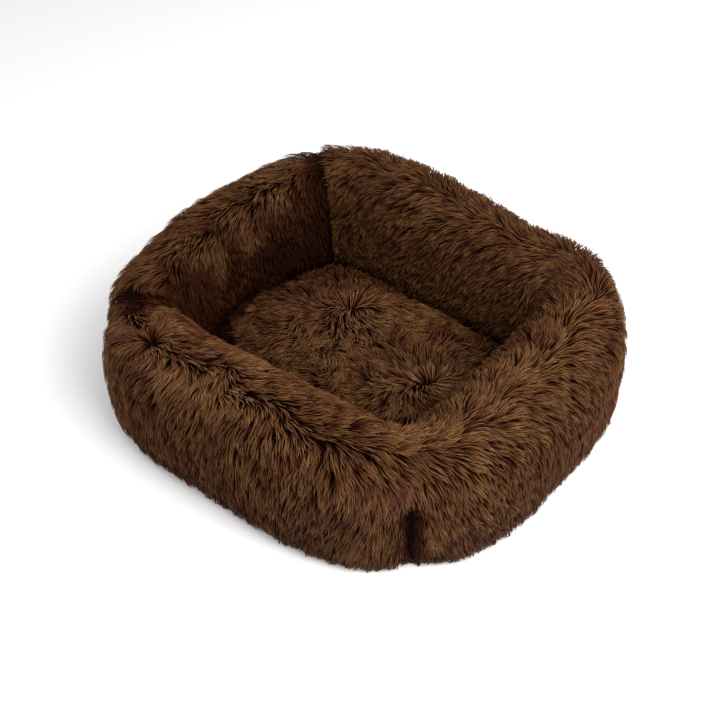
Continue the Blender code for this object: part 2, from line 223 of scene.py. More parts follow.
class Graph:
    """A node tree with one way to add a node."""

    def __init__(self, tree: Any) -> None:
        """Wraps a node tree.

        Args:
            tree: The node tree to add to.
        """
        self.tree = tree

    def node(self, kind: str, settings: dict[str, Any], inputs: dict[Any, Any]) -> Any:
        """Adds a node, sets it up and feeds its sockets.

        Args:
            kind: The node's type name.
            settings: Its properties, set first; "stops" are a ramp's, "keep" a capture's.
            inputs: Values or links by socket name or number.

        Returns:
            The node.
        """
        made = self.tree.nodes.new(kind)
        for key, value in settings.items():
            if key == "stops":
                self._set_stops(made.color_ramp, value)
            elif key == "keep":
                for name, socket_type in value.items():
                    made.capture_items.new(socket_type, name)
            else:
                setattr(made, key, value)
        for key, value in inputs.items():
            self.feed(self.pick(made.inputs, key), value)
        return made

    @staticmethod
    def _set_stops(ramp: Any, stops: list[tuple[float, Colour]]) -> None:
        """Gives a colour ramp its stops.

        Args:
            ramp: The node's colour ramp.
            stops: Place and colour of each stop.
        """
        while len(ramp.elements) < len(stops):
            ramp.elements.new(1.0)
        for element, (place, colour) in zip(ramp.elements, stops):
            element.position = place
            element.color = colour

    @staticmethod
    def pick(sockets: Any, key: Any) -> Any:
        """Finds a socket by number, or the one in use by name.

        Args:
            sockets: A node's inputs or outputs.
            key: The number or the name.

        Returns:
            The socket.
        """
        if isinstance(key, int):
            return sockets[key]
        return next(socket for socket in sockets if socket.name == key and socket.enabled)

    def feed(self, socket: Any, value: Any) -> None:
        """Links or sets one input.

        Args:
            socket: The input socket.
            value: A wire, or a plain value.
        """
        if isinstance(value, Wire):
            self.tree.links.new(value.socket, socket)
        else:
            socket.default_value = value

    def math(self, operation: str, *values: Any, clamp: bool = False) -> Number:
        """Adds a Math node.

        Args:
            operation: The node's operation.
            values: Its inputs in order.
            clamp: Whether the result is held between 0 and 1.

        Returns:
            The result.
        """
        settings = {"operation": operation, "use_clamp": clamp}
        node = self.node("ShaderNodeMath", settings, dict(enumerate(values)))
        return Number(self, node.outputs["Value"])

    def vector(self, operation: str, *values: Any) -> Arrow:
        """Adds a Vector Math node.

        Args:
            operation: The node's operation.
            values: Its inputs in order.

        Returns:
            The result.
        """
        node = self.node("ShaderNodeVectorMath", {"operation": operation}, dict(enumerate(values)))
        return Arrow(self, node.outputs["Vector"])

    def number(self, node: Any, name: Any = 0) -> Number:
        """A node's scalar output, by name or number."""
        return Number(self, self.pick(node.outputs, name))

    def arrow(self, node: Any, name: Any = 0) -> Arrow:
        """A node's vector output, by name or number."""
        return Arrow(self, self.pick(node.outputs, name))

    def wire(self, node: Any, name: Any = 0) -> Wire:
        """A node's output of any other kind, by name or number."""
        return Wire(self, self.pick(node.outputs, name))

    def mix(self, share: Any, low: Any, high: Any) -> Wire:
        """Mixes two colours.

        Args:
            share: How much of the second.
            low: The first colour.
            high: The second colour.

        Returns:
            The mixed colour.
        """
        settings = {"data_type": "RGBA"}
        node = self.node("ShaderNodeMix", settings, {"Factor": share, "A": low, "B": high})
        return self.wire(node, "Result")

    def noise(self, at: Any, scale: float, detail: float = 2.0) -> Number:
        """Smooth noise between 0 and 1 round a half.

        Args:
            at: Where it is read.
            scale: Lumps in a metre.
            detail: Octaves.

        Returns:
            The noise.
        """
        node = self.node("ShaderNodeTexNoise", {}, {"Vector": at, "Scale": scale, "Detail": detail})
        return self.number(node, 0)


def open_tree(name: str, inputs: list[tuple[str, str, Any]]) -> tuple[Graph, Any]:
    """Starts a Geometry Nodes tree with geometry in and out, named inputs and a finish.

    Args:
        name: The tree's name.
        inputs: Name, kind and own value of each further input.

    Returns:
        The tree's graph and its group input node.
    """
    tree = bpy.data.node_groups.new(name, "GeometryNodeTree")
    tree.interface.new_socket("Geometry", in_out="OUTPUT", socket_type="NodeSocketGeometry")
    for label, kind, value in (("Geometry", "Geometry", None), *inputs, ("Finish", "Material", None)):
        socket = tree.interface.new_socket(label, in_out="INPUT", socket_type="NodeSocket" + kind)
        if value is not None:
            socket.default_value = value
    graph = Graph(tree)
    return graph, graph.node("NodeGroupInput", {}, {})


def close_tree(g: Graph, entry: Any, copies: Any) -> None:
    """Makes copies real, smooth and finished, and ends the tree.

    Args:
        g: The graph.
        entry: The group's input node.
        copies: The node whose first output holds the copies.
    """
    real = g.node("GeometryNodeRealizeInstances", {}, {"Geometry": g.wire(copies)})
    finish_tree(g, entry, real)


def finish_tree(g: Graph, entry: Any, real: Any) -> None:
    """Makes a tree's real geometry smooth and finished, and ends the tree.

    Args:
        g: The graph.
        entry: The group's input node.
        real: The node whose first output holds the geometry.
    """
    shaded = g.node("GeometryNodeSetShadeSmooth", {}, {"Geometry": g.wire(real)})
    inputs = {"Geometry": g.wire(shaded), "Material": g.wire(entry, "Finish")}
    done = g.node("GeometryNodeSetMaterial", {}, inputs)
    g.node("NodeGroupOutput", {}, {"Geometry": g.wire(done)})


# --------------------------------------------------------------------------------------------------
# Finishes


@dataclass(frozen=True)
class Finish:
    """A material with a name, a colour and a roughness."""

    name: str
    colour: Colour
    roughness: float = 0.8

    def build(self) -> bpy.types.Material:
        """The Blender material, made once."""
        if self.name in bpy.data.materials:
            return bpy.data.materials[self.name]
        made = bpy.data.materials.new(self.name)
        made.use_nodes = True
        graph = Graph(made.node_tree)
        shader = made.node_tree.nodes["Principled BSDF"]
        shader.inputs["Base Color"].default_value = self.colour
        shader.inputs["Roughness"].default_value = self.roughness
        self.detail(graph, shader)
        return made

    def detail(self, graph: Graph, shader: Any) -> None:
        """Adds what varies over the surface; a plain finish adds nothing."""

    def tinted(self, share: float) -> Colour:
        """The finish's colour, darker below a share of 1 and paler above it."""
        return tuple(min(1.0, part * share) for part in self.colour[:3]) + (1.0,)

    @staticmethod
    def position(graph: Graph) -> Arrow:
        """Object coordinates."""
        return graph.arrow(graph.node("ShaderNodeTexCoord", {}, {}), "Object")

    @staticmethod
    def emboss(graph: Graph, shader: Any, strength: float, distance: float, height: Number) -> None:
        """Raises the surface.

        Args:
            graph: The material's graph.
            shader: The surface shader.
            strength: How strongly the relief shows.
            distance: How high it is.
            height: Its pattern.
        """
        inputs = {"Strength": strength, "Distance": distance, "Height": height}
        graph.feed(shader.inputs["Normal"], graph.wire(graph.node("ShaderNodeBump", {}, inputs)))


@dataclass(frozen=True)
class PileFinish(Finish):
    """Long pile: dark at the root and paler at the tip, with strands of several tones."""

    # The root and shade colours are partly the fibre's own dark root and partly painted shade deep in the
    # pile.
    root: Colour = (0.0060, 0.0010, 0.0002, 1.0)
    shade: Colour = (0.030, 0.0066, 0.0015, 1.0)
    body: Colour = (0.127, 0.050, 0.0185, 1.0)
    tip: Colour = (0.352, 0.198, 0.104, 1.0)
    red_body: Colour = (0.098, 0.032, 0.0200, 1.0)
    gold_body: Colour = (0.185, 0.098, 0.028, 1.0)

    def detail(self, graph: Graph, shader: Any) -> None:
        """Reads the strand's tone across the map and the way to its tip up the map."""
        shader.inputs["Specular IOR Level"].default_value = 0.06
        place = graph.node("ShaderNodeUVMap", {"uv_map": PILE_MAP}, {})
        tone, along, _ = graph.arrow(place, "UV").parts()
        ramps = []
        # The shade stop sets how far the dark stretch runs: partly real dark roots, partly painted shade
        # between strands.
        for shade_at, body_at, body, end in (
            (0.56, 0.86, self.red_body, self.body),
            (0.45, 0.77, self.gold_body, self.tip),
            (0.51, 0.81, self.body, self.tip),
        ):
            stops = [(0.0, self.root), (shade_at, self.shade), (body_at, body), (1.0, end)]
            ramps.append(graph.wire(graph.node("ShaderNodeValToRGB", {"stops": stops}, {"Fac": along})))
        deep, pale, middle = ramps
        low = graph.mix(graph.math("MULTIPLY", tone, 2.0, clamp=True), deep, middle)
        high = graph.math("MULTIPLY_ADD", tone, 2.0, -1.0, clamp=True)
        graph.feed(shader.inputs["Base Color"], graph.mix(high, low, pale))


@dataclass(frozen=True)
class BackingFinish(Finish):
    """Knitted backing of the pile, seen only where the pile parts."""

    def detail(self, graph: Graph, shader: Any) -> None:
        """Fine loops in rows, with a slow change of shade."""
        shader.inputs["Specular IOR Level"].default_value = 0.03
        at = self.position(graph)
        x, y, z = at.parts()
        loops = graph.math("SINE", (x + y) * 2600.0) * graph.math("SINE", (z + x * 0.3) * 2100.0)
        shade = graph.noise(at, 30.0)
        graph.feed(shader.inputs["Base Color"], graph.mix(shade, self.tinted(0.45), self.colour))
        self.emboss(graph, shader, 0.4, 0.0006, loops)


@dataclass(frozen=True)
class WovenFinish(Finish):
    """Plain weave: two sets of threads that pass over and under each other."""

    threads: float = 1400.0
    relief: float = 0.0003

    def detail(self, graph: Graph, shader: Any) -> None:
        """Threads of slightly different shade, each a rounded ridge, with painted shade in the hollows and
        paler crests.
        """
        at = self.position(graph)
        x, y, z = at.parts()
        turn = math.pi * self.threads
        across, along = (x + z * 0.7) * turn, (y + z * 0.7) * turn
        warp = graph.math("ABSOLUTE", graph.math("SINE", across))
        weft = graph.math("ABSOLUTE", graph.math("SINE", along))
        over = graph.math("SINE", across * 0.5) * graph.math("SINE", along * 0.5)
        swap = graph.math("MULTIPLY_ADD", over, 0.5, 0.5, clamp=True)
        height = warp * swap + weft * (1.0 - swap)
        streak = graph.noise(graph.vector("MULTIPLY", at, (900.0, 25.0, 60.0)), 1.0)
        blotch = graph.noise(at, 22.0, 4.0)
        # The height term is painted shade, darker in the hollows and paler on the crests; streak and blotch
        # are the cloth's own.
        shade = height * 0.45 + streak * 0.30 + blotch * 0.35
        graph.feed(shader.inputs["Base Color"], graph.mix(shade, self.tinted(0.40), self.tinted(1.55)))
        self.emboss(graph, shader, 0.6, self.relief, height)


@dataclass(frozen=True)
class MouldedFinish(Finish):
    """Moulded plastic or rubber with a faint grain."""

    grain: float = 900.0

    def detail(self, graph: Graph, shader: Any) -> None:
        """Slightly uneven shade, gloss and surface."""
        at = self.position(graph)
        fine = graph.noise(at, self.grain, 3.0)
        slow = graph.noise(at, 60.0)
        graph.feed(shader.inputs["Base Color"], graph.mix(slow, self.colour, self.tinted(1.5)))
        graph.feed(shader.inputs["Roughness"], fine * 0.2 + (self.roughness - 0.1))
        self.emboss(graph, shader, 0.25, 0.0002, fine)


@dataclass(frozen=True)
class MetalFinish(Finish):
    """Cast and plated metal, rubbed brighter in patches."""

    def detail(self, graph: Graph, shader: Any) -> None:
        """Rubbed patches are paler and smoother, and the rest is dull."""
        shader.inputs["Metallic"].default_value = 1.0
        at = self.position(graph)
        rubbed = graph.math("MULTIPLY_ADD", graph.noise(at, 320.0, 4.0), 2.4, -0.7, clamp=True)
        graph.feed(shader.inputs["Base Color"], graph.mix(rubbed, self.tinted(0.55), self.colour))
        graph.feed(shader.inputs["Roughness"], (self.roughness + 0.15) - rubbed * 0.25)
        scratches = graph.noise(graph.vector("MULTIPLY", at, (4000.0, 500.0, 900.0)), 1.0, 1.0)
        self.emboss(graph, shader, 0.15, 0.0001, scratches)


PILE = PileFinish("brown_pile", (0.118, 0.052, 0.024, 1.0), 0.62)
BACKING = BackingFinish("pile_backing", (0.0075, 0.0028, 0.0014, 1.0), 1.0)
LINING = WovenFinish("brown_lining", (0.022, 0.0105, 0.0062, 1.0), 0.92, threads=1600.0)
FELT = BackingFinish("fibre_felt", (0.62, 0.60, 0.56, 1.0), 0.95)
BASE_WEAVE = WovenFinish("base_weave", (0.020, 0.0125, 0.0090, 1.0), 0.88, threads=1100.0)
TAPE_WEAVE = WovenFinish("zip_tape_weave", (0.030, 0.020, 0.015, 1.0), 0.80, threads=2600.0, relief=0.0001)
THREAD = MouldedFinish("sewing_thread", (0.050, 0.036, 0.028, 1.0), 0.70)
RUBBER = MouldedFinish("grip_dots", (0.050, 0.048, 0.046, 1.0), 0.55)
COIL = MouldedFinish("zip_coil_plastic", (0.035, 0.024, 0.018, 1.0), 0.45)
NICKEL = MetalFinish("aged_nickel", (0.42, 0.39, 0.34, 1.0), 0.32)
FLOOR = Finish("pale_floor", (0.90, 0.90, 0.90, 1.0), 0.9)


# --------------------------------------------------------------------------------------------------
# Mesh helpers


def new_piece(name: str, mesh: bpy.types.Mesh) -> bpy.types.Object:
    """Puts a mesh in the scene as an object at the origin.

    Args:
        name: The piece's name.
        mesh: Its mesh, in place.

    Returns:
        The object.
    """
    made = bpy.data.objects.new(name, mesh)
    bpy.context.scene.collection.objects.link(made)
    return made


def evaluated_copy(piece: bpy.types.Object) -> bpy.types.Mesh:
    """The mesh of a piece with its modifiers applied."""
    bpy.context.view_layer.update()
    graph = bpy.context.evaluated_depsgraph_get()
    return bpy.data.meshes.new_from_object(piece.evaluated_get(graph))


def bake(piece: bpy.types.Object) -> bpy.types.Object:
    """Applies a piece's modifiers.

    Args:
        piece: The object, which is replaced by one of the same name.

    Returns:
        The plain mesh object.
    """
    mesh = evaluated_copy(piece)
    name = piece.name
    bpy.data.objects.remove(piece, do_unlink=True)
    return new_piece(name, mesh)


def points_of(mesh: bpy.types.Mesh) -> np.ndarray:
    """A mesh's points as an array."""
    flat = np.empty(len(mesh.vertices) * 3, np.float32)
    mesh.vertices.foreach_get("co", flat)
    return flat.reshape(-1, 3).astype(np.float64)


def set_points(mesh: bpy.types.Mesh, points: np.ndarray) -> None:
    """Moves a mesh's points."""
    mesh.vertices.foreach_set("co", points.astype(np.float32).ravel())
    mesh.update()


def normals_of(mesh: bpy.types.Mesh) -> np.ndarray:
    """A mesh's point normals as an array."""
    flat = np.empty(len(mesh.vertices) * 3, np.float32)
    mesh.vertex_normals.foreach_get("vector", flat)
    return flat.reshape(-1, 3).astype(np.float64)


def face_means(mesh: bpy.types.Mesh, values: np.ndarray) -> np.ndarray:
    """The mean of a point value over each face.

    Args:
        mesh: The mesh.
        values: A value for each point.

    Returns:
        A value for each face.
    """
    corners, totals = np.empty(len(mesh.loops), np.int32), np.empty(len(mesh.polygons), np.int32)
    mesh.loops.foreach_get("vertex_index", corners)
    mesh.polygons.foreach_get("loop_total", totals)
    starts = np.concatenate([[0], np.cumsum(totals)[:-1]])
    return np.add.reduceat(values[corners], starts) / totals


def face_vectors(mesh: bpy.types.Mesh, kind: str) -> np.ndarray:
    """A vector of each face, its "center" or its "normal", as an array."""
    flat = np.empty(len(mesh.polygons) * 3, np.float32)
    mesh.polygons.foreach_get(kind, flat)
    return flat.reshape(-1, 3)


def smoothstep(low: float, high: float, value: np.ndarray) -> np.ndarray:
    """Rises smoothly from 0 at low to 1 at high."""
    share = np.clip((value - low) / (high - low), 0.0, 1.0)
    return share * share * (3.0 - 2.0 * share)


def unit(vectors: np.ndarray) -> np.ndarray:
    """Vectors one long."""
    return vectors / np.maximum(np.linalg.norm(vectors, axis=1, keepdims=True), 1e-9)


@dataclass(frozen=True)
class Waver:
    """Smooth, seeded disorder in space."""

    seed: int
    wavelength: float
    waves: int = 7

    def at(self, points: np.ndarray) -> np.ndarray:
        """The disorder at points.

        Args:
            points: Places.

        Returns:
            Vectors whose parts are mostly between -1 and 1.
        """
        chance = np.random.default_rng(self.seed)
        total = np.zeros_like(points)
        for _ in range(self.waves):
            way = unit(chance.normal(size=(1, 3)))[0]
            turn = way * (2 * math.pi / self.wavelength * chance.uniform(0.6, 1.6))
            phase = chance.uniform(0, 2 * math.pi, 3)
            size = chance.uniform(0.5, 1.0, 3)
            total += size * np.sin((points @ turn)[:, None] + phase)
        return total / math.sqrt(self.waves) * 1.3


def merged_copy(node: bpy.types.Object) -> bmesh.types.BMesh:
    """A closed copy of a CAD solid, whose own mesh is loose triangles.

    Args:
        node: The CAD solid.

    Returns:
        The copy, for the caller to free.
    """
    body = bmesh.new()
    body.from_mesh(node.data)
    bmesh.ops.remove_doubles(body, verts=body.verts, dist=WELD)
    bmesh.ops.recalc_face_normals(body, faces=body.faces)
    body.normal_update()
    return body


def piece_of(name: str, body: bmesh.types.BMesh) -> bpy.types.Object:
    """Makes a piece of a bmesh, which it frees."""
    mesh = bpy.data.meshes.new(name)
    body.to_mesh(mesh)
    body.free()
    return new_piece(name, mesh)


def finish_with(piece: bpy.types.Object, finish: Finish) -> None:
    """Gives a piece one finish and smooth shading."""
    piece.data.materials.clear()
    piece.data.materials.append(finish.build())
    piece.data.shade_smooth()


def set_out(piece: bpy.types.Object, body: str, node: str = "") -> None:
    """Says which body a piece rides on and the CAD solid that it replaces.

    Args:
        piece: The piece.
        body: The body.
        node: The CAD solid, if there is one.
    """
    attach(piece, body)
    if node:
        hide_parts(node)
    LOG.info("%s: %d faces", piece.name, len(piece.data.polygons))


# --------------------------------------------------------------------------------------------------
# Plan of the bed


@dataclass
class Plan:
    """The bed's plan lines, read from the frame."""

    half_x: float
    half_y: float
    ridge_x: float
    ridge_y: float
    deck: float
    ridge_radius: float = 0.058

    @classmethod
    def from_frame(cls, bounds: Any) -> "Plan":
        """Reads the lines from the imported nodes.

        Args:
            bounds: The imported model's box.

        Returns:
            The plan.
        """
        return cls(
            half_x=bounds[1][0],
            half_y=bounds[1][1],
            ridge_x=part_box("right_wall_inner_panel")[1].x,
            ridge_y=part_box("back_wall_inner_panel")[1].y,
            deck=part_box("floor_lining")[1].z,
        )

    def past_ridge(self, points: np.ndarray) -> tuple[np.ndarray, np.ndarray]:
        """How far points lie outside the ridge line in plan.

        Args:
            points: Places.

        Returns:
            The signed distances, and the unit directions that point away from the middle.
        """
        radius = self.ridge_radius
        corner = np.array([self.ridge_x - radius, self.ridge_y - radius])
        plan = points[:, :2]
        away = np.abs(plan) - corner
        outside = np.maximum(away, 0.0)
        reach = np.linalg.norm(outside, axis=1)
        distance = reach + np.minimum(away.max(axis=1), 0.0) - radius
        axis = np.where(away[:, :1] > away[:, 1:], [[1.0, 0.0]], [[0.0, 1.0]])
        direction = np.where(reach[:, None] > 1e-6, outside, axis) * np.sign(plan)
        flat = np.zeros_like(points)
        flat[:, :2] = direction
        return distance, unit(flat)

    def wall_of(self, points: np.ndarray) -> np.ndarray:
        """The number of the wall each point belongs to, split at the mitre seams."""
        past_x = np.abs(points[:, 0]) - self.half_x
        past_y = np.abs(points[:, 1]) - self.half_y
        ends = np.where(points[:, 0] > 0, Wall.RIGHT.value, Wall.LEFT.value)
        sides = np.where(points[:, 1] > 0, Wall.BACK.value, Wall.FRONT.value)
        return np.where(past_x > past_y, ends, sides)

    def from_seam(self, points: np.ndarray) -> np.ndarray:
        """How far points lie from the nearest mitre seam."""
        past_x = np.abs(points[:, 0]) - self.half_x
        past_y = np.abs(points[:, 1]) - self.half_y
        return np.abs(past_x - past_y) / math.sqrt(2.0)


# --------------------------------------------------------------------------------------------------
# Stuffed forms


@dataclass
class Stuffing:
    """Makes a stuffed form from CAD solids: remeshed, blown up as cloth, held to a limit and smoothed."""

    voxel: float = 0.008
    pressure: float = 4.0
    frames: int = 20
    limit: float = 0.006
    quality: int = 4
    mass: float = 0.25
    softening: float = 0.5
    softenings: int = 4

    def merge(self, name: str, nodes: list[bpy.types.Object], grow: float) -> bpy.types.Object:
        """Joins copies of solids into one remeshed skin.

        Args:
            name: The skin's name.
            nodes: The CAD solids.
            grow: How far each is grown first, so that neighbours join.

        Returns:
            The skin.
        """
        joined = bmesh.new()
        for node in nodes:
            part = merged_copy(node)
            moves = [(vert, vert.normal * grow) for vert in part.verts]
            for vert, move in moves:
                vert.co += move
            mesh = bpy.data.meshes.new(name)
            part.to_mesh(mesh)
            part.free()
            joined.from_mesh(mesh)
            bpy.data.meshes.remove(mesh)
        piece = piece_of(name, joined)
        remesh = piece.modifiers.new("even", "REMESH")
        remesh.mode = "VOXEL"
        remesh.voxel_size = self.voxel
        smooth = piece.modifiers.new("soften", "SMOOTH")
        smooth.factor = self.softening
        smooth.iterations = self.softenings
        return bake(piece)

    def swell(self, piece: bpy.types.Object, freedom: np.ndarray) -> bpy.types.Object:
        """Blows a skin up as cloth under pressure.

        Args:
            piece: The skin.
            freedom: How free each point is to move, from 0 to 1.

        Returns:
            The swollen skin.
        """
        before = points_of(piece.data)
        group = piece.vertex_groups.new(name="sewn")
        for index in np.flatnonzero(freedom < 0.999):
            group.add([int(index)], float(1.0 - freedom[index]), "REPLACE")
        cloth = piece.modifiers.new("stuffed", "CLOTH").settings
        cloth.quality = self.quality
        cloth.mass = self.mass
        cloth.use_pressure = True
        cloth.uniform_pressure_force = self.pressure
        cloth.effector_weights.gravity = 0.0
        cloth.vertex_group_mass = group.name
        scene = bpy.context.scene
        for frame in range(1, self.frames + 1):
            scene.frame_set(frame)
        swollen = bake(piece)
        scene.frame_set(1)
        move = points_of(swollen.data) - before
        length = np.linalg.norm(move, axis=1, keepdims=True)
        held = self.limit * np.tanh(length / self.limit) / np.maximum(length, 1e-9)
        set_points(swollen.data, before + move * held * freedom[:, None])
        swollen.vertex_groups.clear()
        return swollen


@dataclass(frozen=True)
class Whorl:
    """A place the pile turns away from on all sides."""

    x: float
    y: float
    reach: float
    strength: float = 2.0
    bare: float = 0.0
    pit: float = 0.0

    def pull(self, points: np.ndarray) -> tuple[np.ndarray, np.ndarray, np.ndarray]:
        """Its effect at points.

        Args:
            points: Places.

        Returns:
            Directions away from its middle, distances from it, and how strongly it acts.
        """
        away = points - np.array([self.x, self.y, 0.0])
        away[:, 2] = 0.0
        distance = np.linalg.norm(away, axis=1)
        return unit(away), distance, self.strength * np.exp(-((distance / self.reach) ** 2))


@dataclass(frozen=True)
class Sweep:
    """How the pile of one wall lies: its lean along the wall, anticlockwise from above, and its parting."""

    outer: float
    inner: float
    fan: float = 0.0
    parting: float = 0.0
    spread: float = 0.016


@dataclass
class Lay:
    """A pile at each point of a skin: its lie, its share of the full length, how upright and thick, and its
    painted shading.
    """

    lie: np.ndarray
    share: np.ndarray
    stand: np.ndarray
    crowd: np.ndarray
    # Painted shade on the pile, up to 1; below 0 it is painted light.
    dim: np.ndarray

    def store(self, skin: bpy.types.Object) -> None:
        """Stores what the pile reads on the skin's points.

        Args:
            skin: The skin.
        """
        mesh = skin.data
        for name, kind, key, values in (
            ("lie", "FLOAT_VECTOR", "vector", self.lie),
            ("smooth", "FLOAT_VECTOR", "vector", normals_of(mesh)),
            ("share", "FLOAT", "value", self.share),
            ("stand", "FLOAT", "value", self.stand),
            ("crowd", "FLOAT", "value", self.crowd),
            ("dim", "FLOAT", "value", self.dim),
        ):
            attribute = mesh.attributes.new(name, kind, "POINT")
            attribute.data.foreach_set(key, values.astype(np.float32).ravel())


@dataclass
class Groomer:
    """Lays the pile over a skin."""

    plan: Plan
    sweeps: dict[Wall, Sweep] = field(
        default_factory=lambda: {
            Wall.FRONT: Sweep(outer=0.0, inner=1.1, fan=0.75, parting=0.018, spread=0.018),
            Wall.RIGHT: Sweep(outer=0.75, inner=1.0, parting=0.006, spread=0.042),
            Wall.BACK: Sweep(outer=0.50, inner=1.25, parting=0.008, spread=0.030),
            Wall.LEFT: Sweep(outer=1.60, inner=0.45, parting=-0.010, spread=0.034),
        }
    )
    wall_whorls: tuple[Whorl, ...] = (
        Whorl(-0.217, -0.170, 0.027, 3.0, 0.66, 0.0100),
        Whorl(0.182, -0.160, 0.030, 1.6, 0.1),
        Whorl(-0.042, -0.196, 0.030, 1.3, 0.1),
        Whorl(-0.150, -0.196, 0.032, 1.6, 0.35),
    )
    seat_whorls: tuple[Whorl, ...] = (
        Whorl(-0.058, 0.030, 0.110, 3.0),
        Whorl(0.098, -0.012, 0.075, 3.0),
        Whorl(0.020, -0.085, 0.060, 0.9),
    )
    fan_at: float = -0.042
    fan_reach: float = 0.13
    slit_corner: tuple[float, float] = (1.0, -1.0)
    seam_corner: tuple[float, float] = (-1.0, 1.0)
    crevice_top: float = 0.090
    # Strengths and widths of the painted shade and painted light on the pile's colour.
    left_shade: float = 0.38
    front_shade: float = 0.05
    foot_shade: float = 0.17
    back_lift: float = 0.42
    slit_bald: float = 0.0028
    slit_dark: float = 0.0075
    slit_reach: float = 0.010
    slit_top: tuple[float, float] = (0.104, 0.122)
    seam_dark: float = 0.011

    def walls(self, points: np.ndarray, normals: np.ndarray) -> Lay:
        """The lay over the walls.

        Args:
            points: The skin's points.
            normals: Their normals.

        Returns:
            The lay.
        """
        moved = points + Waver(3, 0.060).at(points) * 0.007
        past, outward = self.plan.past_ridge(moved)
        wall = self.plan.wall_of(points)
        along = np.stack([-outward[:, 1], outward[:, 0], np.zeros(len(points))], axis=1)
        outer, inner, fan, parting, spread = (np.zeros(len(points)) for _ in range(5))
        for place, sweep in self.sweeps.items():
            here = wall == place.value
            outer[here], inner[here] = sweep.outer, sweep.inner
            fan[here], parting[here], spread[here] = sweep.fan, sweep.parting, sweep.spread
        ease = smoothstep(0.0, 0.05, self.plan.from_seam(points))
        across = past - parting * ease
        side = smoothstep(-1.0, 1.0, across / spread) * 2.0 - 1.0
        flat = smoothstep(0.3, 0.9, np.abs(normals[:, 2]))
        outside = side * 0.5 + 0.5
        lean = outer * (0.15 + 0.85 * flat) * outside + inner * (0.55 + 0.45 * flat) * (1.0 - outside)
        lean = lean + fan * np.clip((points[:, 0] - self.fan_at) / self.fan_reach, -1, 1) * outside * flat
        down = np.array([[0.0, 0.0, -1.0]])
        lie = outward * side[:, None] + down * 1.2 + along * lean[:, None]
        lie = lie + Waver(5, 0.055).at(points) * (0.10 + 0.20 * flat)[:, None]
        share = np.ones(len(points))
        near = np.exp(-((across / 0.018) ** 2))
        stand = near * np.clip(1.0 - np.abs(lean) / 1.3, 0.15, 1.0)
        crowd = 1.0 + 1.1 * near * np.clip(1.4 - np.abs(lean), 0.3, 1.0)
        # Painted shade and painted light on the pile's colour.
        dim = self._shadow(points, past, wall)
        for whorl in self.wall_whorls:
            away, distance, weight = whorl.pull(moved)
            weight = weight * smoothstep(0.07, 0.12, points[:, 2])
            lie = lie + away * weight[:, None]
            share = share * (1.0 - whorl.bare * weight / whorl.strength)
            share[(distance < whorl.pit) & (points[:, 2] > 0.1)] = 0.0
            # A pit also gets painted shadow, darkest in its bare hole.
            if whorl.pit:
                dim = np.maximum(dim, np.exp(-((distance / (1.25 * whorl.pit)) ** 4)))
            stand = np.maximum(stand, 0.8 * (weight / whorl.strength) ** 3)
            crowd = crowd + 1.2 * (weight / whorl.strength) ** 2
        lie, share = self._slit(points, past, lie, share)
        share = share * self._seams(points, past)
        foot = np.where(past > 0, smoothstep(-0.016, 0.020, points[:, 2]), 1.0)
        share = share * (0.55 + 0.45 * foot)
        well = np.where(past < 0, smoothstep(0.055, self.crevice_top, points[:, 2]), 1.0)
        share = share * (0.60 + 0.40 * well)
        return Lay(self._on_surface(lie, normals), share, stand, crowd, dim)

    def _shadow(self, points: np.ndarray, past: np.ndarray, wall: np.ndarray) -> np.ndarray:
        """How much painted shade darkens the pile in the slit, seam, crevice, foot, front and left wall;
        painted light pales the back.

        Args:
            points: The skin's points.
            past: How far they lie outside the ridge line.
            wall: The number of each point's wall.

        Returns:
            Darkness of the painted shade, up to 1; below 0 it is painted light and the pile is paler.
        """
        # Painted shade: a dark line down the slit, a dark corner seam, the shaded inside of the left wall,
        # the front, the foot and the crevice.
        offset, low = self._slit_offset(points, past)
        slit = np.exp(-((offset / self.slit_dark) ** 2)) * low
        corner = self._in_corner(points, self.seam_corner) & (past < 0.020)
        seam = np.exp(-((self.plan.from_seam(points) / self.seam_dark) ** 2)) * corner * 0.9
        inside = (1.0 - smoothstep(-0.022, 0.000, past)) * (wall == Wall.LEFT.value) * self.left_shade
        front = (wall == Wall.FRONT.value) * self.front_shade
        foot = (1.0 - smoothstep(0.015, 0.090, points[:, 2])) * (past > 0) * self.foot_shade
        crevice = (1.0 - smoothstep(0.052, 0.070, points[:, 2])) * (past < 0) * 0.5
        # Painted light: the inside of the back wall is made paler.
        lit = (1.0 - smoothstep(-0.022, 0.000, past)) * (wall == Wall.BACK.value) * self.back_lift
        return np.maximum.reduce([slit, seam, inside, front + foot, crevice]) - lit

    def _seams(self, points: np.ndarray, past: np.ndarray) -> np.ndarray:
        """How much of the pile's length is left near the corner seams.

        Args:
            points: The skin's points.
            past: How far they lie outside the ridge line.

        Returns:
            Shares of the length.
        """
        seam = self.plan.from_seam(points)
        left = 0.80 + 0.20 * smoothstep(0.0, 0.016, seam)
        deep = self._in_corner(points, self.seam_corner) & (past < 0.012)
        return np.where(deep, left * (0.30 + 0.70 * smoothstep(0.002, 0.016, seam)), left)

    def _slit(
        self, points: np.ndarray, past: np.ndarray, lie: np.ndarray, share: np.ndarray
    ) -> tuple[np.ndarray, np.ndarray]:
        """Parts the pile along the lower front corner seam, where the backing shows.

        Args:
            points: The skin's points.
            past: How far they lie outside the ridge line.
            lie: The lie so far.
            share: The length shares so far.

        Returns:
            The lie and the length shares with the slit.
        """
        sign_x, sign_y = self.slit_corner
        offset, low = self._slit_offset(points, past)
        near = np.exp(-((offset / self.slit_reach) ** 2)) * low
        across = np.zeros_like(points)
        across[:, 0] = sign_x * np.sign(offset)
        across[:, 1] = -sign_y * np.sign(offset)
        turn = 0.25 - 0.75 * (1.0 - smoothstep(0.020, 0.050, points[:, 2]))
        lie = lie + across * (near * turn)[:, None]
        share = share * (1.0 - 0.45 * near * smoothstep(0.004, 0.030, points[:, 2]))
        share[(np.abs(offset) < self.slit_bald) & (low > 0.5) & (points[:, 2] > 0.012)] = 0.0
        return lie, share

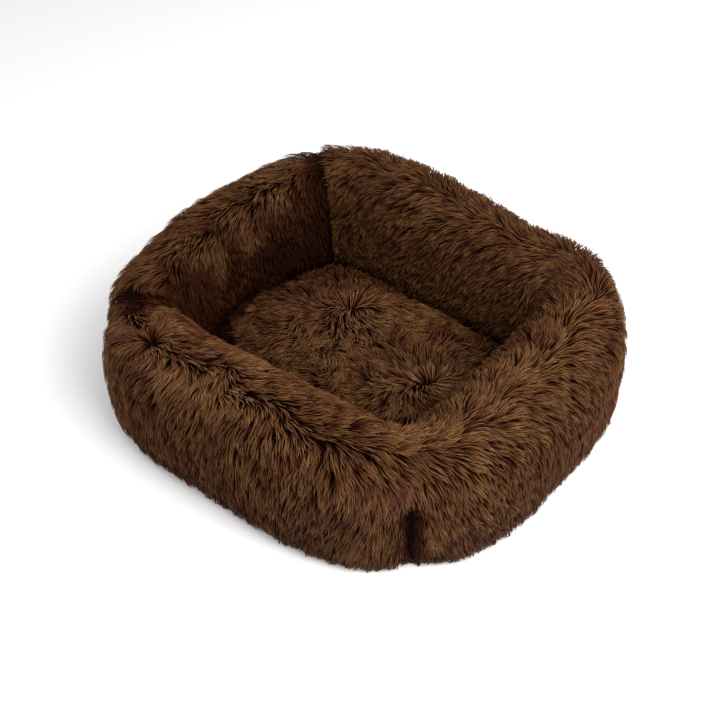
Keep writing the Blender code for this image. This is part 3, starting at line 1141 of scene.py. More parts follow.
    def _slit_offset(self, points: np.ndarray, past: np.ndarray) -> tuple[np.ndarray, np.ndarray]:
        """Where points lie across the slit, and whether they are low enough for it.

        Args:
            points: The skin's points.
            past: How far they lie outside the ridge line.

        Returns:
            Signed distances from the slit, and its strength from 0 to 1.
        """
        sign_x, sign_y = self.slit_corner
        wavy = points + Waver(8, 0.05).at(points) * 0.0015
        offset = (wavy[:, 0] * sign_x - self.plan.half_x) - (wavy[:, 1] * sign_y - self.plan.half_y)
        here = self._in_corner(points, self.slit_corner) & (past > 0.01)
        return offset / math.sqrt(2.0), here * (1.0 - smoothstep(*self.slit_top, points[:, 2]))

    def seat(self, points: np.ndarray, normals: np.ndarray) -> Lay:
        """The lay over the seat cushion.

        Args:
            points: The skin's points.
            normals: Their normals.

        Returns:
            The lay.
        """
        moved = points + Waver(12, 0.060).at(points) * 0.017
        lie = np.zeros_like(points) + np.array([[-0.30, 0.20, -0.25]])
        share, stand, crowd = np.ones(len(points)), np.zeros(len(points)), np.ones(len(points))
        for whorl in self.seat_whorls:
            away, distance, weight = whorl.pull(moved)
            lie = lie + away * weight[:, None]
            full = min(1.0, whorl.strength / 3.0)
            stand = np.maximum(stand, full * np.exp(-((distance / 0.018) ** 2)))
            crowd = crowd + 1.8 * full * np.exp(-((distance / 0.028) ** 2))
        lie = lie + Waver(15, 0.045).at(points) * 0.8
        edge = 1.0 - smoothstep(0.35, 0.95, normals[:, 2])
        lie = lie + normals * np.array([[1.6, 1.6, 0.0]]) * edge[:, None]
        lie = lie + np.array([[0.0, 0.0, -1.0]]) * edge[:, None]
        share = share * (1.0 - 0.30 * edge)
        # Painted shade low on the seat, in the crevice where it meets the walls.
        dim = 0.8 * (1.0 - smoothstep(0.046, 0.064, points[:, 2]))
        return Lay(self._on_surface(lie, normals), share, stand, crowd, dim)

    @staticmethod
    def _in_corner(points: np.ndarray, corner: tuple[float, float]) -> np.ndarray:
        """Whether points lie in one quarter of the plan, given by its signs."""
        return (points[:, 0] * corner[0] > 0) & (points[:, 1] * corner[1] > 0)

    @staticmethod
    def _on_surface(lie: np.ndarray, normals: np.ndarray) -> np.ndarray:
        """Directions with their part off the surface taken out."""
        return unit(lie - normals * (lie * normals).sum(axis=1, keepdims=True))


# --------------------------------------------------------------------------------------------------
# Pile


@dataclass
class Strand:
    """One strand: a three-sided spike that closes to a point."""

    levels: tuple[float, ...] = (0.0, 0.36, 0.72)
    widths: tuple[float, ...] = (0.75, 1.0, 0.82)
    flatness: float = 0.55

    def build(self) -> bpy.types.Object:
        """The strand that every pile repeats.

        Returns:
            The object, whose points carry their place across and along the strand.
        """
        mesh = bpy.data.meshes.new("strand")
        body = bmesh.new()
        turns = [math.radians(degrees) for degrees in (90, 210, 330)]
        corners = [(math.cos(turn), math.sin(turn) * self.flatness) for turn in turns]
        rows = []
        for level, width in zip(self.levels, self.widths):
            rows.append([body.verts.new((x * width, y * width, level)) for x, y in corners])
        tip = body.verts.new((0.0, 0.0, 1.0))
        body.faces.new(list(reversed(rows[0])))
        for lower, upper in zip(rows, rows[1:]):
            for k in range(3):
                body.faces.new((lower[k], lower[(k + 1) % 3], upper[(k + 1) % 3], upper[k]))
        for k in range(3):
            body.faces.new((rows[-1][k], rows[-1][(k + 1) % 3], tip))
        bmesh.ops.triangulate(body, faces=body.faces)
        bmesh.ops.recalc_face_normals(body, faces=body.faces)
        body.to_mesh(mesh)
        body.free()
        place = mesh.attributes.new("place", "FLOAT_VECTOR", "POINT")
        place.data.foreach_set("vector", points_of(mesh).astype(np.float32).ravel())
        return bpy.data.objects.new("strand", mesh)


@dataclass
class PileTree:
    """Geometry Nodes that grow the pile on a skin."""

    seed: int = 7

    def build(self) -> bpy.types.NodeTree:
        """The tree, with its sizes as named inputs.

        Returns:
            The node tree.
        """
        inputs = [
            ("Guide", "Object", None),
            ("Strand", "Object", None),
            ("Density", "Float", 80000.0),
            ("Length", "Float", 0.034),
            ("Half Width", "Float", 0.00070),
            ("Root Angle", "Float", 1.0),
            ("Tip Angle", "Float", -0.20),
            ("Lock Size", "Float", 0.010),
            ("Lock Pull", "Float", 0.42),
            ("Floor", "Float", 0.0005),
            ("Seed", "Int", self.seed),
        ]
        graph, entry = open_tree("grow_pile", inputs)
        self._grow(graph, entry)
        return graph.tree

    def _grow(self, g: Graph, entry: Any) -> None:
        """Adds every node between the group's input and output.

        Args:
            g: The graph.
            entry: The group's input node.
        """
        sizes = {name: g.number(entry, name) for name in ("Density", "Length", "Half Width", "Root Angle")}
        sizes |= {name: g.number(entry, name) for name in ("Tip Angle", "Lock Size", "Lock Pull", "Floor")}
        seed = g.number(entry, "Seed")
        scatter = g.node(
            "GeometryNodeDistributePointsOnFaces",
            {"distribute_method": "RANDOM"},
            {
                "Mesh": g.wire(entry, "Geometry"),
                "Density": sizes["Density"] * self._named(g, "crowd", "FLOAT"),
                "Seed": seed,
            },
        )
        root = g.arrow(g.node("GeometryNodeInputPosition", {}, {}))
        up = g.arrow(scatter, "Normal")
        lie = self._named(g, "lie", "FLOAT_VECTOR").unit()
        share, stand = self._named(g, "share", "FLOAT"), self._named(g, "stand", "FLOAT")
        # The painted shade and painted light that darken or pale each strand.
        dim = self._named(g, "dim", "FLOAT")
        lock = g.node("ShaderNodeTexVoronoi", {}, {"Vector": root, "Scale": 1.0 / sizes["Lock Size"]})
        tuft = g.node("ShaderNodeTexVoronoi", {}, {"Vector": root, "Scale": 2.3 / sizes["Lock Size"]})
        turn_a, turn_b, turn_c = g.arrow(lock, "Color").parts()
        tuft_a, tuft_b, _ = g.arrow(tuft, "Color").parts()
        swirl = g.noise(root, 14.0) - 0.5
        flat = g.math("ABSOLUTE", up.parts()[2])
        angle = (swirl * 0.9 + (turn_a - 0.5) * 0.5) * (0.35 + flat * 0.65)
        angle = angle + (tuft_a - 0.5) * 0.34 + self._chance(g, seed, 1) * 0.22
        side = up.cross(lie)
        lie = lie * g.math("COSINE", angle) + side * g.math("SINE", angle)
        pull = g.arrow(lock, "Position") * 0.55 + g.arrow(tuft, "Position") * 0.45 - root
        pull = pull - up * pull.dot(up)
        length = sizes["Length"] * share * (0.90 + self._chance(g, seed, 2) * 0.22 + (turn_b - 0.5) * 0.22)
        curl = (turn_c - 0.5) * (0.14 + flat * 0.28) + self._chance(g, seed, 3) * 0.12
        lift = (tuft_b - 0.5) * 0.14 + self._chance(g, seed, 4) * 0.10 + (turn_b - 0.5) * 0.10
        patch = (g.noise(root, 26.0, 1.0) - 0.5) * 0.8
        tone = 0.5 + self._chance(g, seed, 5) * 0.80 + patch + (turn_a - 0.5) * 0.25
        kept = {"root": root, "up": up, "lie": lie, "pull": pull}
        kept |= {"length": length, "curl": curl, "lift": lift, "tone": tone, "stand": stand, "dim": dim}
        kinds = {name: "VECTOR" if isinstance(value, Arrow) else "FLOAT" for name, value in kept.items()}
        capture = g.node(
            "GeometryNodeCaptureAttribute",
            {"keep": kinds},
            {"Geometry": g.wire(scatter, "Points")} | kept,
        )
        held = {name: (g.arrow if kinds[name] == "VECTOR" else g.number)(capture, name) for name in kept}
        source = {"Object": g.wire(entry, "Strand"), "As Instance": True}
        strand = g.node("GeometryNodeObjectInfo", {}, source)
        copies = g.node(
            "GeometryNodeInstanceOnPoints",
            {},
            {"Points": g.wire(capture, "Geometry"), "Instance": g.wire(strand, "Geometry")},
        )
        real = g.node("GeometryNodeRealizeInstances", {}, {"Geometry": g.wire(copies, "Instances")})
        self._shape(g, entry, sizes, held, real)

    def _shape(self, g: Graph, entry: Any, sizes: dict[str, Number], held: dict[str, Any], real: Any) -> None:
        """Bends each strand over the skin, maps it and gives it its finish.

        Args:
            g: The graph.
            entry: The group's input node.
            sizes: The group's size inputs.
            held: What each strand keeps from its root.
            real: The node with the real strands.
        """
        across, thick, along = self._named(g, "place", "FLOAT_VECTOR").parts()
        start = sizes["Root Angle"] + held["lift"] + held["stand"] * 0.30
        fall = start - sizes["Tip Angle"] - held["stand"] * 0.30
        now = start - fall * along
        run = held["length"] * (g.math("SINE", start) - g.math("SINE", now)) / fall
        rise = held["length"] * (g.math("COSINE", now) - g.math("COSINE", start)) / fall
        side = held["up"].cross(held["lie"]).unit()
        sideways = held["curl"] * held["length"] * along * along
        together = sizes["Lock Pull"] * along**1.4
        over = held["root"] + held["lie"] * run + side * sideways + held["pull"] * together
        guide = g.node("GeometryNodeObjectInfo", {}, {"Object": g.wire(entry, "Guide")})
        near = g.node(
            "GeometryNodeProximity",
            {"target_element": "FACES"},
            {0: g.wire(guide, "Geometry"), "Sample Position": over},
        )
        smooth = g.node(
            "GeometryNodeSampleNearestSurface",
            {"data_type": "FLOAT_VECTOR"},
            {
                0: g.wire(guide, "Geometry"),
                "Value": self._named(g, "smooth", "FLOAT_VECTOR"),
                "Sample Position": over,
            },
        )
        above = (g.arrow(smooth, "Value") + held["up"] * 0.25).unit()
        ahead = (held["lie"] - above * held["lie"].dot(above)).unit()
        beside = above.cross(ahead).unit()
        outward = (above * g.math("COSINE", now) - ahead * g.math("SINE", now)).unit()
        place = g.arrow(near, "Position") + above * rise
        place = place + beside * (across * sizes["Half Width"]) + outward * (thick * sizes["Half Width"])
        x, y, z = place.parts()
        raised = g.math("SMOOTH_MAX", z, sizes["Floor"], 0.002)
        placed = g.node("ShaderNodeCombineXYZ", {}, {"X": x, "Y": y, "Z": raised})
        moved = g.node(
            "GeometryNodeSetPosition", {}, {"Geometry": g.wire(real), "Position": g.arrow(placed)}
        )
        # Painted shade moves the tone towards the deep ramp and the place along the strand towards the dark
        # root; below 0 it is painted light.
        tone = held["tone"] - held["dim"] * 0.5
        tone = g.math("MAXIMUM", g.math("MINIMUM", tone, 0.97), 0.03) + across * 0.008
        bright = (along + held["stand"] * (0.62 * (1.0 - along))) * (1.0 - held["dim"] * 0.86)
        spot = g.node("ShaderNodeCombineXYZ", {}, {"X": tone, "Y": bright * 0.97 + 0.015})
        mapped = g.node(
            "GeometryNodeStoreNamedAttribute",
            {"data_type": "FLOAT2", "domain": "CORNER"},
            {"Geometry": g.wire(moved), "Name": PILE_MAP, "Value": g.arrow(spot)},
        )
        clean = g.node("GeometryNodeRemoveAttribute", {}, {"Geometry": g.wire(mapped), "Name": "place"})
        finish_tree(g, entry, clean)

    @staticmethod
    def _named(g: Graph, name: str, kind: str) -> Any:
        """A named attribute, as a number or an arrow."""
        node = g.node("GeometryNodeInputNamedAttribute", {"data_type": kind}, {"Name": name})
        return g.number(node, "Attribute") if kind == "FLOAT" else g.arrow(node, "Attribute")

    @staticmethod
    def _chance(g: Graph, seed: Number, step: int) -> Number:
        """A random number of each strand's own, between -0.5 and 0.5."""
        inputs = {"Min": -0.5, "Max": 0.5, "Seed": seed + step}
        node = g.node("FunctionNodeRandomValue", {"data_type": "FLOAT"}, inputs)
        return g.number(node, "Value")


def run_tree(piece: bpy.types.Object, tree: bpy.types.NodeTree, inputs: dict[str, Any]) -> bpy.types.Object:
    """Runs a Geometry Nodes tree on a piece and keeps the result as a plain mesh.

    Args:
        piece: The object that it starts from.
        tree: The tree.
        inputs: The values of its named inputs.

    Returns:
        The plain mesh object.
    """
    modifier = piece.modifiers.new("grow", "NODES")
    modifier.node_group = tree
    for item in tree.interface.items_tree:
        if item.item_type == "SOCKET" and item.in_out == "INPUT" and item.name in inputs:
            modifier[item.identifier] = inputs[item.name]
    return bake(piece)


@dataclass
class PileGrower:
    """Grows the pile of one region of a skin."""

    tree: bpy.types.NodeTree
    strand: bpy.types.Object

    def region(self, name: str, skin: bpy.types.Object, chosen: np.ndarray) -> bpy.types.Object:
        """A mesh of some of a skin's faces, with the pile's attributes.

        Args:
            name: The new object's name.
            skin: The groomed skin.
            chosen: Whether each face is taken.

        Returns:
            The region.
        """
        mesh = skin.data.copy()
        mesh.name = name
        body = bmesh.new()
        body.from_mesh(mesh)
        body.faces.ensure_lookup_table()
        gone = [body.faces[int(k)] for k in np.flatnonzero(~chosen)]
        bmesh.ops.delete(body, geom=gone, context="FACES")
        body.to_mesh(mesh)
        body.free()
        return new_piece(name, mesh)

    def grow(self, region: bpy.types.Object, guide: bpy.types.Object, **sizes: Any) -> bpy.types.Object:
        """Replaces a region with its pile.

        Args:
            region: The faces that the pile grows from.
            guide: The whole skin, which the strands follow.
            sizes: Inputs of the tree that differ from its own values.

        Returns:
            The pile.
        """
        inputs = {"Guide": guide, "Strand": self.strand, "Finish": PILE.build()}
        return run_tree(region, self.tree, inputs | sizes)


# --------------------------------------------------------------------------------------------------
# Sub-assemblies


@dataclass
class StuffedWalls:
    """The ring of four walls: one stuffed skin cut at the corner seams, and the pile of its eight panels."""

    plan: Plan
    nodes: dict[str, bpy.types.Object]
    grower: PileGrower
    body: str = "bed_shell"
    density: float = 108000.0
    inner_density: float = 140000.0
    seam_hold: float = 0.030
    join: float = 0.0008
    seam_gap: float = 0.0003
    fill: float = 0.85
    underneath: float = -0.75
    shortest: float = 0.12

    def build(self) -> None:
        """Makes the skins and the pile."""
        ring = self._ring()
        points, normals = points_of(ring.data), normals_of(ring.data)
        self.lay = Groomer(self.plan).walls(points, normals)
        self.lay.store(ring)
        for wall in Wall:
            self._skin(ring, wall)
            for side in Side:
                self._pile(ring, wall, side)
        bpy.data.objects.remove(ring, do_unlink=True)

    def _ring(self) -> bpy.types.Object:
        """All four fillings as one swollen skin, held at the corner seams and the foot."""
        stuffing = Stuffing()
        fillings = [self.nodes[f"{wall.label}_wall_filling"] for wall in Wall]
        ring = stuffing.merge("wall_ring", fillings, grow=self.join)
        points = points_of(ring.data)
        free = smoothstep(0.004, self.seam_hold, self.plan.from_seam(points))
        free = free * smoothstep(0.004, 0.022, points[:, 2])
        return stuffing.swell(ring, free)

    def _skin(self, ring: bpy.types.Object, wall: Wall) -> None:
        """Cuts one wall's skin out of the ring and closes it at the seams.

        Args:
            ring: The whole ring.
            wall: Which wall.
        """
        body = bmesh.new()
        body.from_mesh(ring.data)
        turn = Matrix.Rotation(wall.value * math.pi / 2, 3, "Z")
        half = (self.plan.half_x, self.plan.half_y)
        length, depth = half if wall.value % 2 == 0 else half[::-1]
        for sign in (-1, 1):
            corner = turn @ Vector((sign * length, -depth, 0.0))
            normal = turn @ Vector((sign, 1.0, 0.0)).normalized()
            geometry = list(body.verts) + list(body.edges) + list(body.faces)
            place = corner - normal * self.seam_gap
            bmesh.ops.bisect_plane(body, geom=geometry, plane_co=place, plane_no=normal, clear_outer=True)
            edges = [edge for edge in body.edges if edge.is_boundary]
            bmesh.ops.holes_fill(body, edges=edges, sides=0)
        bmesh.ops.triangulate(body, faces=[f for f in body.faces if len(f.verts) > 4])
        bmesh.ops.recalc_face_normals(body, faces=body.faces)
        skin = piece_of(f"{wall.label}_wall_skin", body)
        finish_with(skin, BACKING)
        set_out(skin, self.body, f"{wall.label}_wall_filling")

    def _pile(self, ring: bpy.types.Object, wall: Wall, side: Side) -> None:
        """Grows the pile of one panel.

        Args:
            ring: The groomed ring.
            wall: Which wall.
            side: Which panel of it.
        """
        mesh = ring.data
        centre, normal = face_vectors(mesh, "center"), face_vectors(mesh, "normal")
        past, _ = self.plan.past_ridge(centre)
        grown = (normal[:, 2] > self.underneath) | (centre[:, 2] > 0.06)
        if side is Side.INNER:
            grown &= centre[:, 2] > self.plan.deck + 0.018
        grown &= face_means(mesh, self.lay.share) > self.shortest
        chosen = (self.plan.wall_of(centre) == wall.value) & ((past > 0) == (side is Side.OUTER)) & grown
        name = f"{wall.label}_{side.value}_pile"
        region = self.grower.region(name, ring, chosen)
        density = self.density if side is Side.OUTER else self.inner_density
        pile = self.grower.grow(region, ring, Density=density, Seed=11 * wall.value + len(side.value))
        set_out(pile, self.body, f"{wall.label}_wall_{side.value}_panel")


@dataclass
class SeatCushion:
    """The lift-out cushion: a stuffed form under its pile, on a lining bottom."""

    plan: Plan
    nodes: dict[str, bpy.types.Object]
    grower: PileGrower
    body: str = "seat_cushion"
    density: float = 122000.0
    grow: float = 0.004
    gap: float = 0.0004
    fill: float = 0.8
    underneath: float = -0.5

    def build(self) -> None:
        """Makes the stuffed form and the pile."""
        stuffing = Stuffing(voxel=0.007, limit=0.006)
        form = stuffing.merge("seat_form", [self.nodes["cushion_filling"]], grow=self.grow)
        points = points_of(form.data)
        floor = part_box("cushion_bottom_panel")[1].z + self.gap
        points[:, 2] = np.maximum(points[:, 2], floor)
        set_points(form.data, points)
        free = smoothstep(floor + 0.001, floor + 0.014, points[:, 2])
        form = stuffing.swell(form, free)
        points, normals = points_of(form.data), normals_of(form.data)
        Groomer(self.plan).seat(points, normals).store(form)
        chosen = face_vectors(form.data, "normal")[:, 2] > self.underneath
        region = self.grower.region("seat_pile", form, chosen)
        pile = self.grower.grow(region, form, Density=self.density, Seed=91, Floor=floor)
        finish_with(form, BACKING)
        set_out(form, self.body, "cushion_filling")
        set_out(pile, self.body, "cushion_top_panel")


@dataclass
class Sewing:
    """Stitches, made by one tree along wires."""

    spacing: float = 0.0052
    length: float = 0.0038
    thickness: float = 0.0007

    def __post_init__(self) -> None:
        """Builds the tree once."""
        self.tree = self._tree()

    def _tree(self) -> bpy.types.NodeTree:
        """Geometry Nodes that set a stitch at even steps along every wire.

        Returns:
            The node tree.
        """
        inputs = [
            ("Spacing", "Float", self.spacing),
            ("Length", "Float", self.length),
            ("Thickness", "Float", self.thickness),
        ]
        g, entry = open_tree("sew", inputs)
        lines = g.node("GeometryNodeMeshToCurve", {}, {"Mesh": g.wire(entry, "Geometry")})
        steps = g.node(
            "GeometryNodeCurveToPoints",
            {"mode": "LENGTH"},
            {"Curve": g.wire(lines), "Length": g.number(entry, "Spacing")},
        )
        bead = g.node("GeometryNodeMeshUVSphere", {}, {"Segments": 8, "Rings": 5, "Radius": 0.5})
        thick = g.number(entry, "Thickness")
        size = g.node("ShaderNodeCombineXYZ", {}, {"X": thick, "Y": thick, "Z": g.number(entry, "Length")})
        copies = g.node(
            "GeometryNodeInstanceOnPoints",
            {},
            {
                "Points": g.wire(steps, "Points"),
                "Instance": g.wire(bead),
                "Rotation": g.wire(steps, "Rotation"),
                "Scale": g.arrow(size),
            },
        )
        close_tree(g, entry, copies)
        return g.tree

    def stitch(self, name: str, wires: bpy.types.Object, body: str, slot: str) -> bpy.types.Object:
        """Sews along wires.

        Args:
            name: The stitches' name.
            wires: A mesh of edges only, which is used up.
            body: The body they ride on.
            slot: Not used.

        Returns:
            The stitches.
        """
        wires.name = name
        made = run_tree(wires, self.tree, {"Finish": THREAD.build()})
        set_out(made, body)
        return made


@dataclass
class ClothPlate:
    """A flat cloth cut from its CAD solid, with quilted channels or a sewn edge."""

    node: bpy.types.Object

    def __post_init__(self) -> None:
        """Starts from a merged copy."""
        self.body = merged_copy(self.node)
        heights = [vert.co.z for vert in self.body.verts]
        self.low, self.high = min(heights), max(heights)
        self.area = sum(face.calc_area() for face in self.body.faces if face.normal.z > 0.9)

    def cut_grid(self, pitch: float, parts: int) -> None:
        """Cuts the cloth along both diagonals, so that it can be quilted.

        Args:
            pitch: The distance between channels.
            parts: Cuts in each pitch.
        """
        for way in self.diagonals():
            reach = max(abs(vert.co.dot(way)) for vert in self.body.verts)
            count = int(reach / pitch * parts)
            for step in range(-count, count + 1):
                geometry = list(self.body.verts) + list(self.body.edges) + list(self.body.faces)
                place = way * (step * pitch / parts)
                bmesh.ops.bisect_plane(self.body, geom=geometry, dist=1e-6, plane_co=place, plane_no=way)

    @staticmethod
    def diagonals() -> tuple[Vector, Vector]:
        """The two ways across the channels."""
        return Vector((1.0, 1.0, 0.0)).normalized(), Vector((1.0, -1.0, 0.0)).normalized()

    def quilt(self, pitch: float, depth: float) -> None:
        """Draws the cloth down along its channels.

        Args:
            pitch: The distance between channels.
            depth: How deep a channel is.
        """
        for vert in self.body.verts:
            waves = [abs(math.sin(math.pi * vert.co.dot(way) / pitch)) for way in self.diagonals()]
            vert.co.z -= depth * (1.0 - (waves[0] * waves[1]) ** 0.4)

    def channel_wires(self, pitch: float, lift: float) -> bpy.types.Object:
        """The channels' lines on top of the cloth.

        Args:
            pitch: The distance between channels.
            lift: How far the lines lie over the cloth.

        Returns:
            A mesh of edges only.
        """
        ways = self.diagonals()

        def on_line(edge: Any) -> bool:
            """Whether an edge of the top runs along a channel."""
            if not all(face.normal.z > 0.5 for face in edge.link_faces):
                return False
            places = [[vert.co.dot(way) / pitch for way in ways] for vert in edge.verts]
            return any(all(abs(p[k] - round(p[k])) < 0.001 for p in places) and
                       abs(places[0][k] - places[1][k]) < 0.001 for k in range(2))

        self.body.normal_update()
        chosen = [edge for edge in self.body.edges if on_line(edge)]
        return self._wires(chosen, 0.0, lift)

    def edge_wires(self, inset: float, below: bool, lift: float) -> bpy.types.Object:
        """Lines that follow the cloth's edges at a distance.

        Args:
            inset: How far in they run; round a hole, how far out.
            below: Whether they lie on the underside.
            lift: How far they lie off the cloth.

        Returns:
            A mesh of edges only.
        """
        self.body.normal_update()
        sign = -1.0 if below else 1.0

        def on_rim(edge: Any) -> bool:
            """Whether an edge lies between the face in question and the cloth's side."""
            turned = sorted(face.normal.z * sign for face in edge.link_faces)
            return len(turned) == 2 and turned[1] > 0.7 and turned[0] < 0.4

        return self._wires([edge for edge in self.body.edges if on_rim(edge)], inset, lift * sign)

    def _wires(self, edges: list[Any], inset: float, lift: float) -> bpy.types.Object:
        """Copies edges as wires.

        Args:
            edges: The edges.
            inset: How far each point moves in from the cloth's side.
            lift: How far it moves up.

        Returns:
            A mesh of edges only.
        """
        wires = bmesh.new()
        copies = {}
        for vert in {vert for edge in edges for vert in edge.verts}:
            sides = [face.normal for face in vert.link_faces if abs(face.normal.z) < 0.5]
            inward = -sum(sides, Vector()).normalized() if inset and sides else Vector()
            copies[vert] = wires.verts.new(vert.co + inward * inset + Vector((0.0, 0.0, lift)))
        for edge in edges:
            wires.edges.new([copies[vert] for vert in edge.verts])
        return piece_of("wires", wires)

    def sheet(self, name: str, finish: Finish, body: str) -> bpy.types.Object:
        """Makes the cloth a piece that replaces its CAD solid.

        Args:
            name: The piece's name.
            finish: Its finish.
            body: The body it rides on.

        Returns:
            The piece.
        """
        piece = piece_of(name, self.body)
        finish_with(piece, finish)
        piece.data.set_sharp_from_angle(angle=CLOTH_SHARP)
        set_out(piece, body, self.node.name)
        return piece


@dataclass
class SeatBottom:
    """The lining bottom of the cushion, sewn round its edge."""

    nodes: dict[str, bpy.types.Object]
    sewing: Sewing
    body: str = "seat_cushion"
    hem: float = 0.006
    pitch: float = 0.060

    def build(self) -> None:
        """Makes the panel and its stitches."""
        plate = ClothPlate(self.nodes["cushion_bottom_panel"])
        rim = plate.edge_wires(self.hem, below=True, lift=0.0)
        self.sewing.stitch("seat_bottom_stitches", rim, self.body, "lining")
        plate.cut_grid(self.pitch, 6)
        plate.sheet("seat_bottom", LINING, self.body)


@dataclass
class BedFloor:
    """The base cloth with its grip dots, the pad inside it and the quilted lining under the cushion."""

    nodes: dict[str, bpy.types.Object]
    sewing: Sewing
    body: str = "bed_shell"
    pitch: float = 0.060
    parts: int = 6
    channel: float = 0.0022
    underside: float = 0.0008
    dot_spacing: float = 0.020
    dot_radius: float = 0.0030
    hem: float = 0.009
    thread_lift: float = 0.0001
    gap: float = 0.0004
    pad_fill: float = 0.5

    def build(self) -> None:
        """Makes the lining, the pad, the base and its dots."""
        self._lining()
        self._pad()
        base = self._base()
        self._dots(base)

    def _lining(self) -> None:
        """The quilted lining and its stitches."""
        plate = ClothPlate(self.nodes["floor_lining"])
        plate.cut_grid(self.pitch, self.parts)
        plate.quilt(self.pitch, self.channel)
        channels = plate.channel_wires(self.pitch, self.thread_lift)
        self.sewing.stitch("floor_quilting", channels, self.body, "lining")
        plate.sheet("floor_quilt", LINING, self.body)

    def _pad(self) -> None:
        """The felt pad under the lining, drawn down where the lining is."""
        form = Stuffing(voxel=0.006).merge("floor_pad_form", [self.nodes["floor_pad"]], grow=0.0)
        points = points_of(form.data)
        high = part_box("floor_lining")[0].z - self.channel - self.gap
        points[:, 2] = np.clip(points[:, 2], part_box("floor_pad")[0].z, high)
        set_points(form.data, points)
        finish_with(form, FELT)
        set_out(form, self.body, "floor_pad")

    def _base(self) -> bpy.types.Object:
        """The woven base cloth, raised on its dots, with its hem and the seam round the zip."""
        plate = ClothPlate(self.nodes["base_cloth"])
        for vert in plate.body.verts:
            vert.co.z = max(vert.co.z, self.underside)
        rim = plate.edge_wires(self.hem, below=True, lift=0.0)
        self.sewing.stitch("base_stitches", rim, self.body, "base_cloth")
        return plate.sheet("base_sheet", BASE_WEAVE, self.body)

    def _dots(self, base: bpy.types.Object) -> None:
        """Rubber grip dots under the base.

        Args:
            base: The base cloth.
        """
        low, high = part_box("base_cloth")
        tree = DotTree().build()
        holder = new_piece("grip_dots", bpy.data.meshes.new("grip_dots"))
        inputs = {
            "Cloth": base,
            "Reach X": high.x - low.x,
            "Reach Y": high.y - low.y,
            "Spacing": self.dot_spacing,
            "Radius": self.dot_radius,
            "Height": self.underside,
            "Finish": RUBBER.build(),
        }
        dots = run_tree(holder, tree, inputs)
        set_out(dots, self.body)


@dataclass
class DotTree:
    """Geometry Nodes that set a low dome wherever a grid point lies under a cloth."""

    def build(self) -> bpy.types.NodeTree:
        """The tree, with its sizes as named inputs.

        Returns:
            The node tree.
        """
        sizes = ("Reach X", "Reach Y", "Spacing", "Radius", "Height")
        inputs = [("Cloth", "Object", None)] + [(name, "Float", None) for name in sizes]
        g, entry = open_tree("grip_dots", inputs)
        reach_x, reach_y, spacing, radius, height = (g.number(entry, name) for name in sizes)
        grid = g.node(
            "GeometryNodeMeshGrid",
            {},
            {
                "Size X": reach_x,
                "Size Y": reach_y,
                "Vertices X": g.math("FLOOR", reach_x / spacing),
                "Vertices Y": g.math("FLOOR", reach_y / spacing),
            },
        )
        cloth = g.node("GeometryNodeObjectInfo", {}, {"Object": g.wire(entry, "Cloth")})
        ray = g.node(
            "GeometryNodeRaycast",
            {},
            {
                "Target Geometry": g.wire(cloth, "Geometry"),
                "Source Position": g.arrow(g.node("GeometryNodeInputPosition", {}, {})),
                "Ray Direction": (0.0, 0.0, 1.0),
                "Ray Length": 0.01,
            },
        )
        dome = g.node("GeometryNodeMeshUVSphere", {}, {"Segments": 10, "Rings": 6, "Radius": 1.0})
        scale = g.node("ShaderNodeCombineXYZ", {}, {"X": radius, "Y": radius, "Z": height})
        raised = g.node("ShaderNodeCombineXYZ", {}, {"Z": height})
        kept = g.node(
            "GeometryNodeCaptureAttribute",
            {"keep": {"under": "BOOLEAN"}},
            {"Geometry": g.wire(grid), "under": g.wire(ray, "Is Hit")},
        )
        points = g.node(
            "GeometryNodeSetPosition", {}, {"Geometry": g.wire(kept, "Geometry"), "Offset": g.arrow(raised)}
        )
        copies = g.node(
            "GeometryNodeInstanceOnPoints",
            {},
            {
                "Points": g.wire(points),
                "Selection": g.wire(kept, "under"),
                "Instance": g.wire(dome),
                "Scale": g.arrow(scale),
            },
        )
        close_tree(g, entry, copies)
        return g.tree


@dataclass
class CoilTree:
    """Geometry Nodes that wind one side of a zip: a helix of wire along X."""

    def build(self) -> bpy.types.NodeTree:
        """The tree, with its sizes as named inputs.

        Returns:
            The node tree.
        """
        sizes = ("Length", "Pitch", "Radius", "Wire")
        inputs = [(name, "Float", None) for name in sizes] + [("Start", "Vector", None)]
        g, entry = open_tree("zip_coil", inputs)
        length, pitch, radius, wire = (g.number(entry, name) for name in sizes)
        helix = g.node(
            "GeometryNodeCurveSpiral",
            {},
            {
                "Resolution": 10,
                "Rotations": length / pitch,
                "Start Radius": radius,
                "End Radius": radius,
                "Height": length,
            },
        )
        section = g.node("GeometryNodeCurvePrimitiveCircle", {}, {"Resolution": 6, "Radius": wire})
        wound = g.node(
            "GeometryNodeCurveToMesh",
            {},
            {"Curve": g.wire(helix), "Profile Curve": g.wire(section), "Fill Caps": True},
        )
        laid = g.node(
            "GeometryNodeTransform",
            {},
            {
                "Geometry": g.wire(wound),
                "Translation": g.arrow(entry, "Start"),
                "Rotation": (0.0, math.pi / 2, 0.0),
            },
        )
        close_tree(g, entry, laid)
        return g.tree


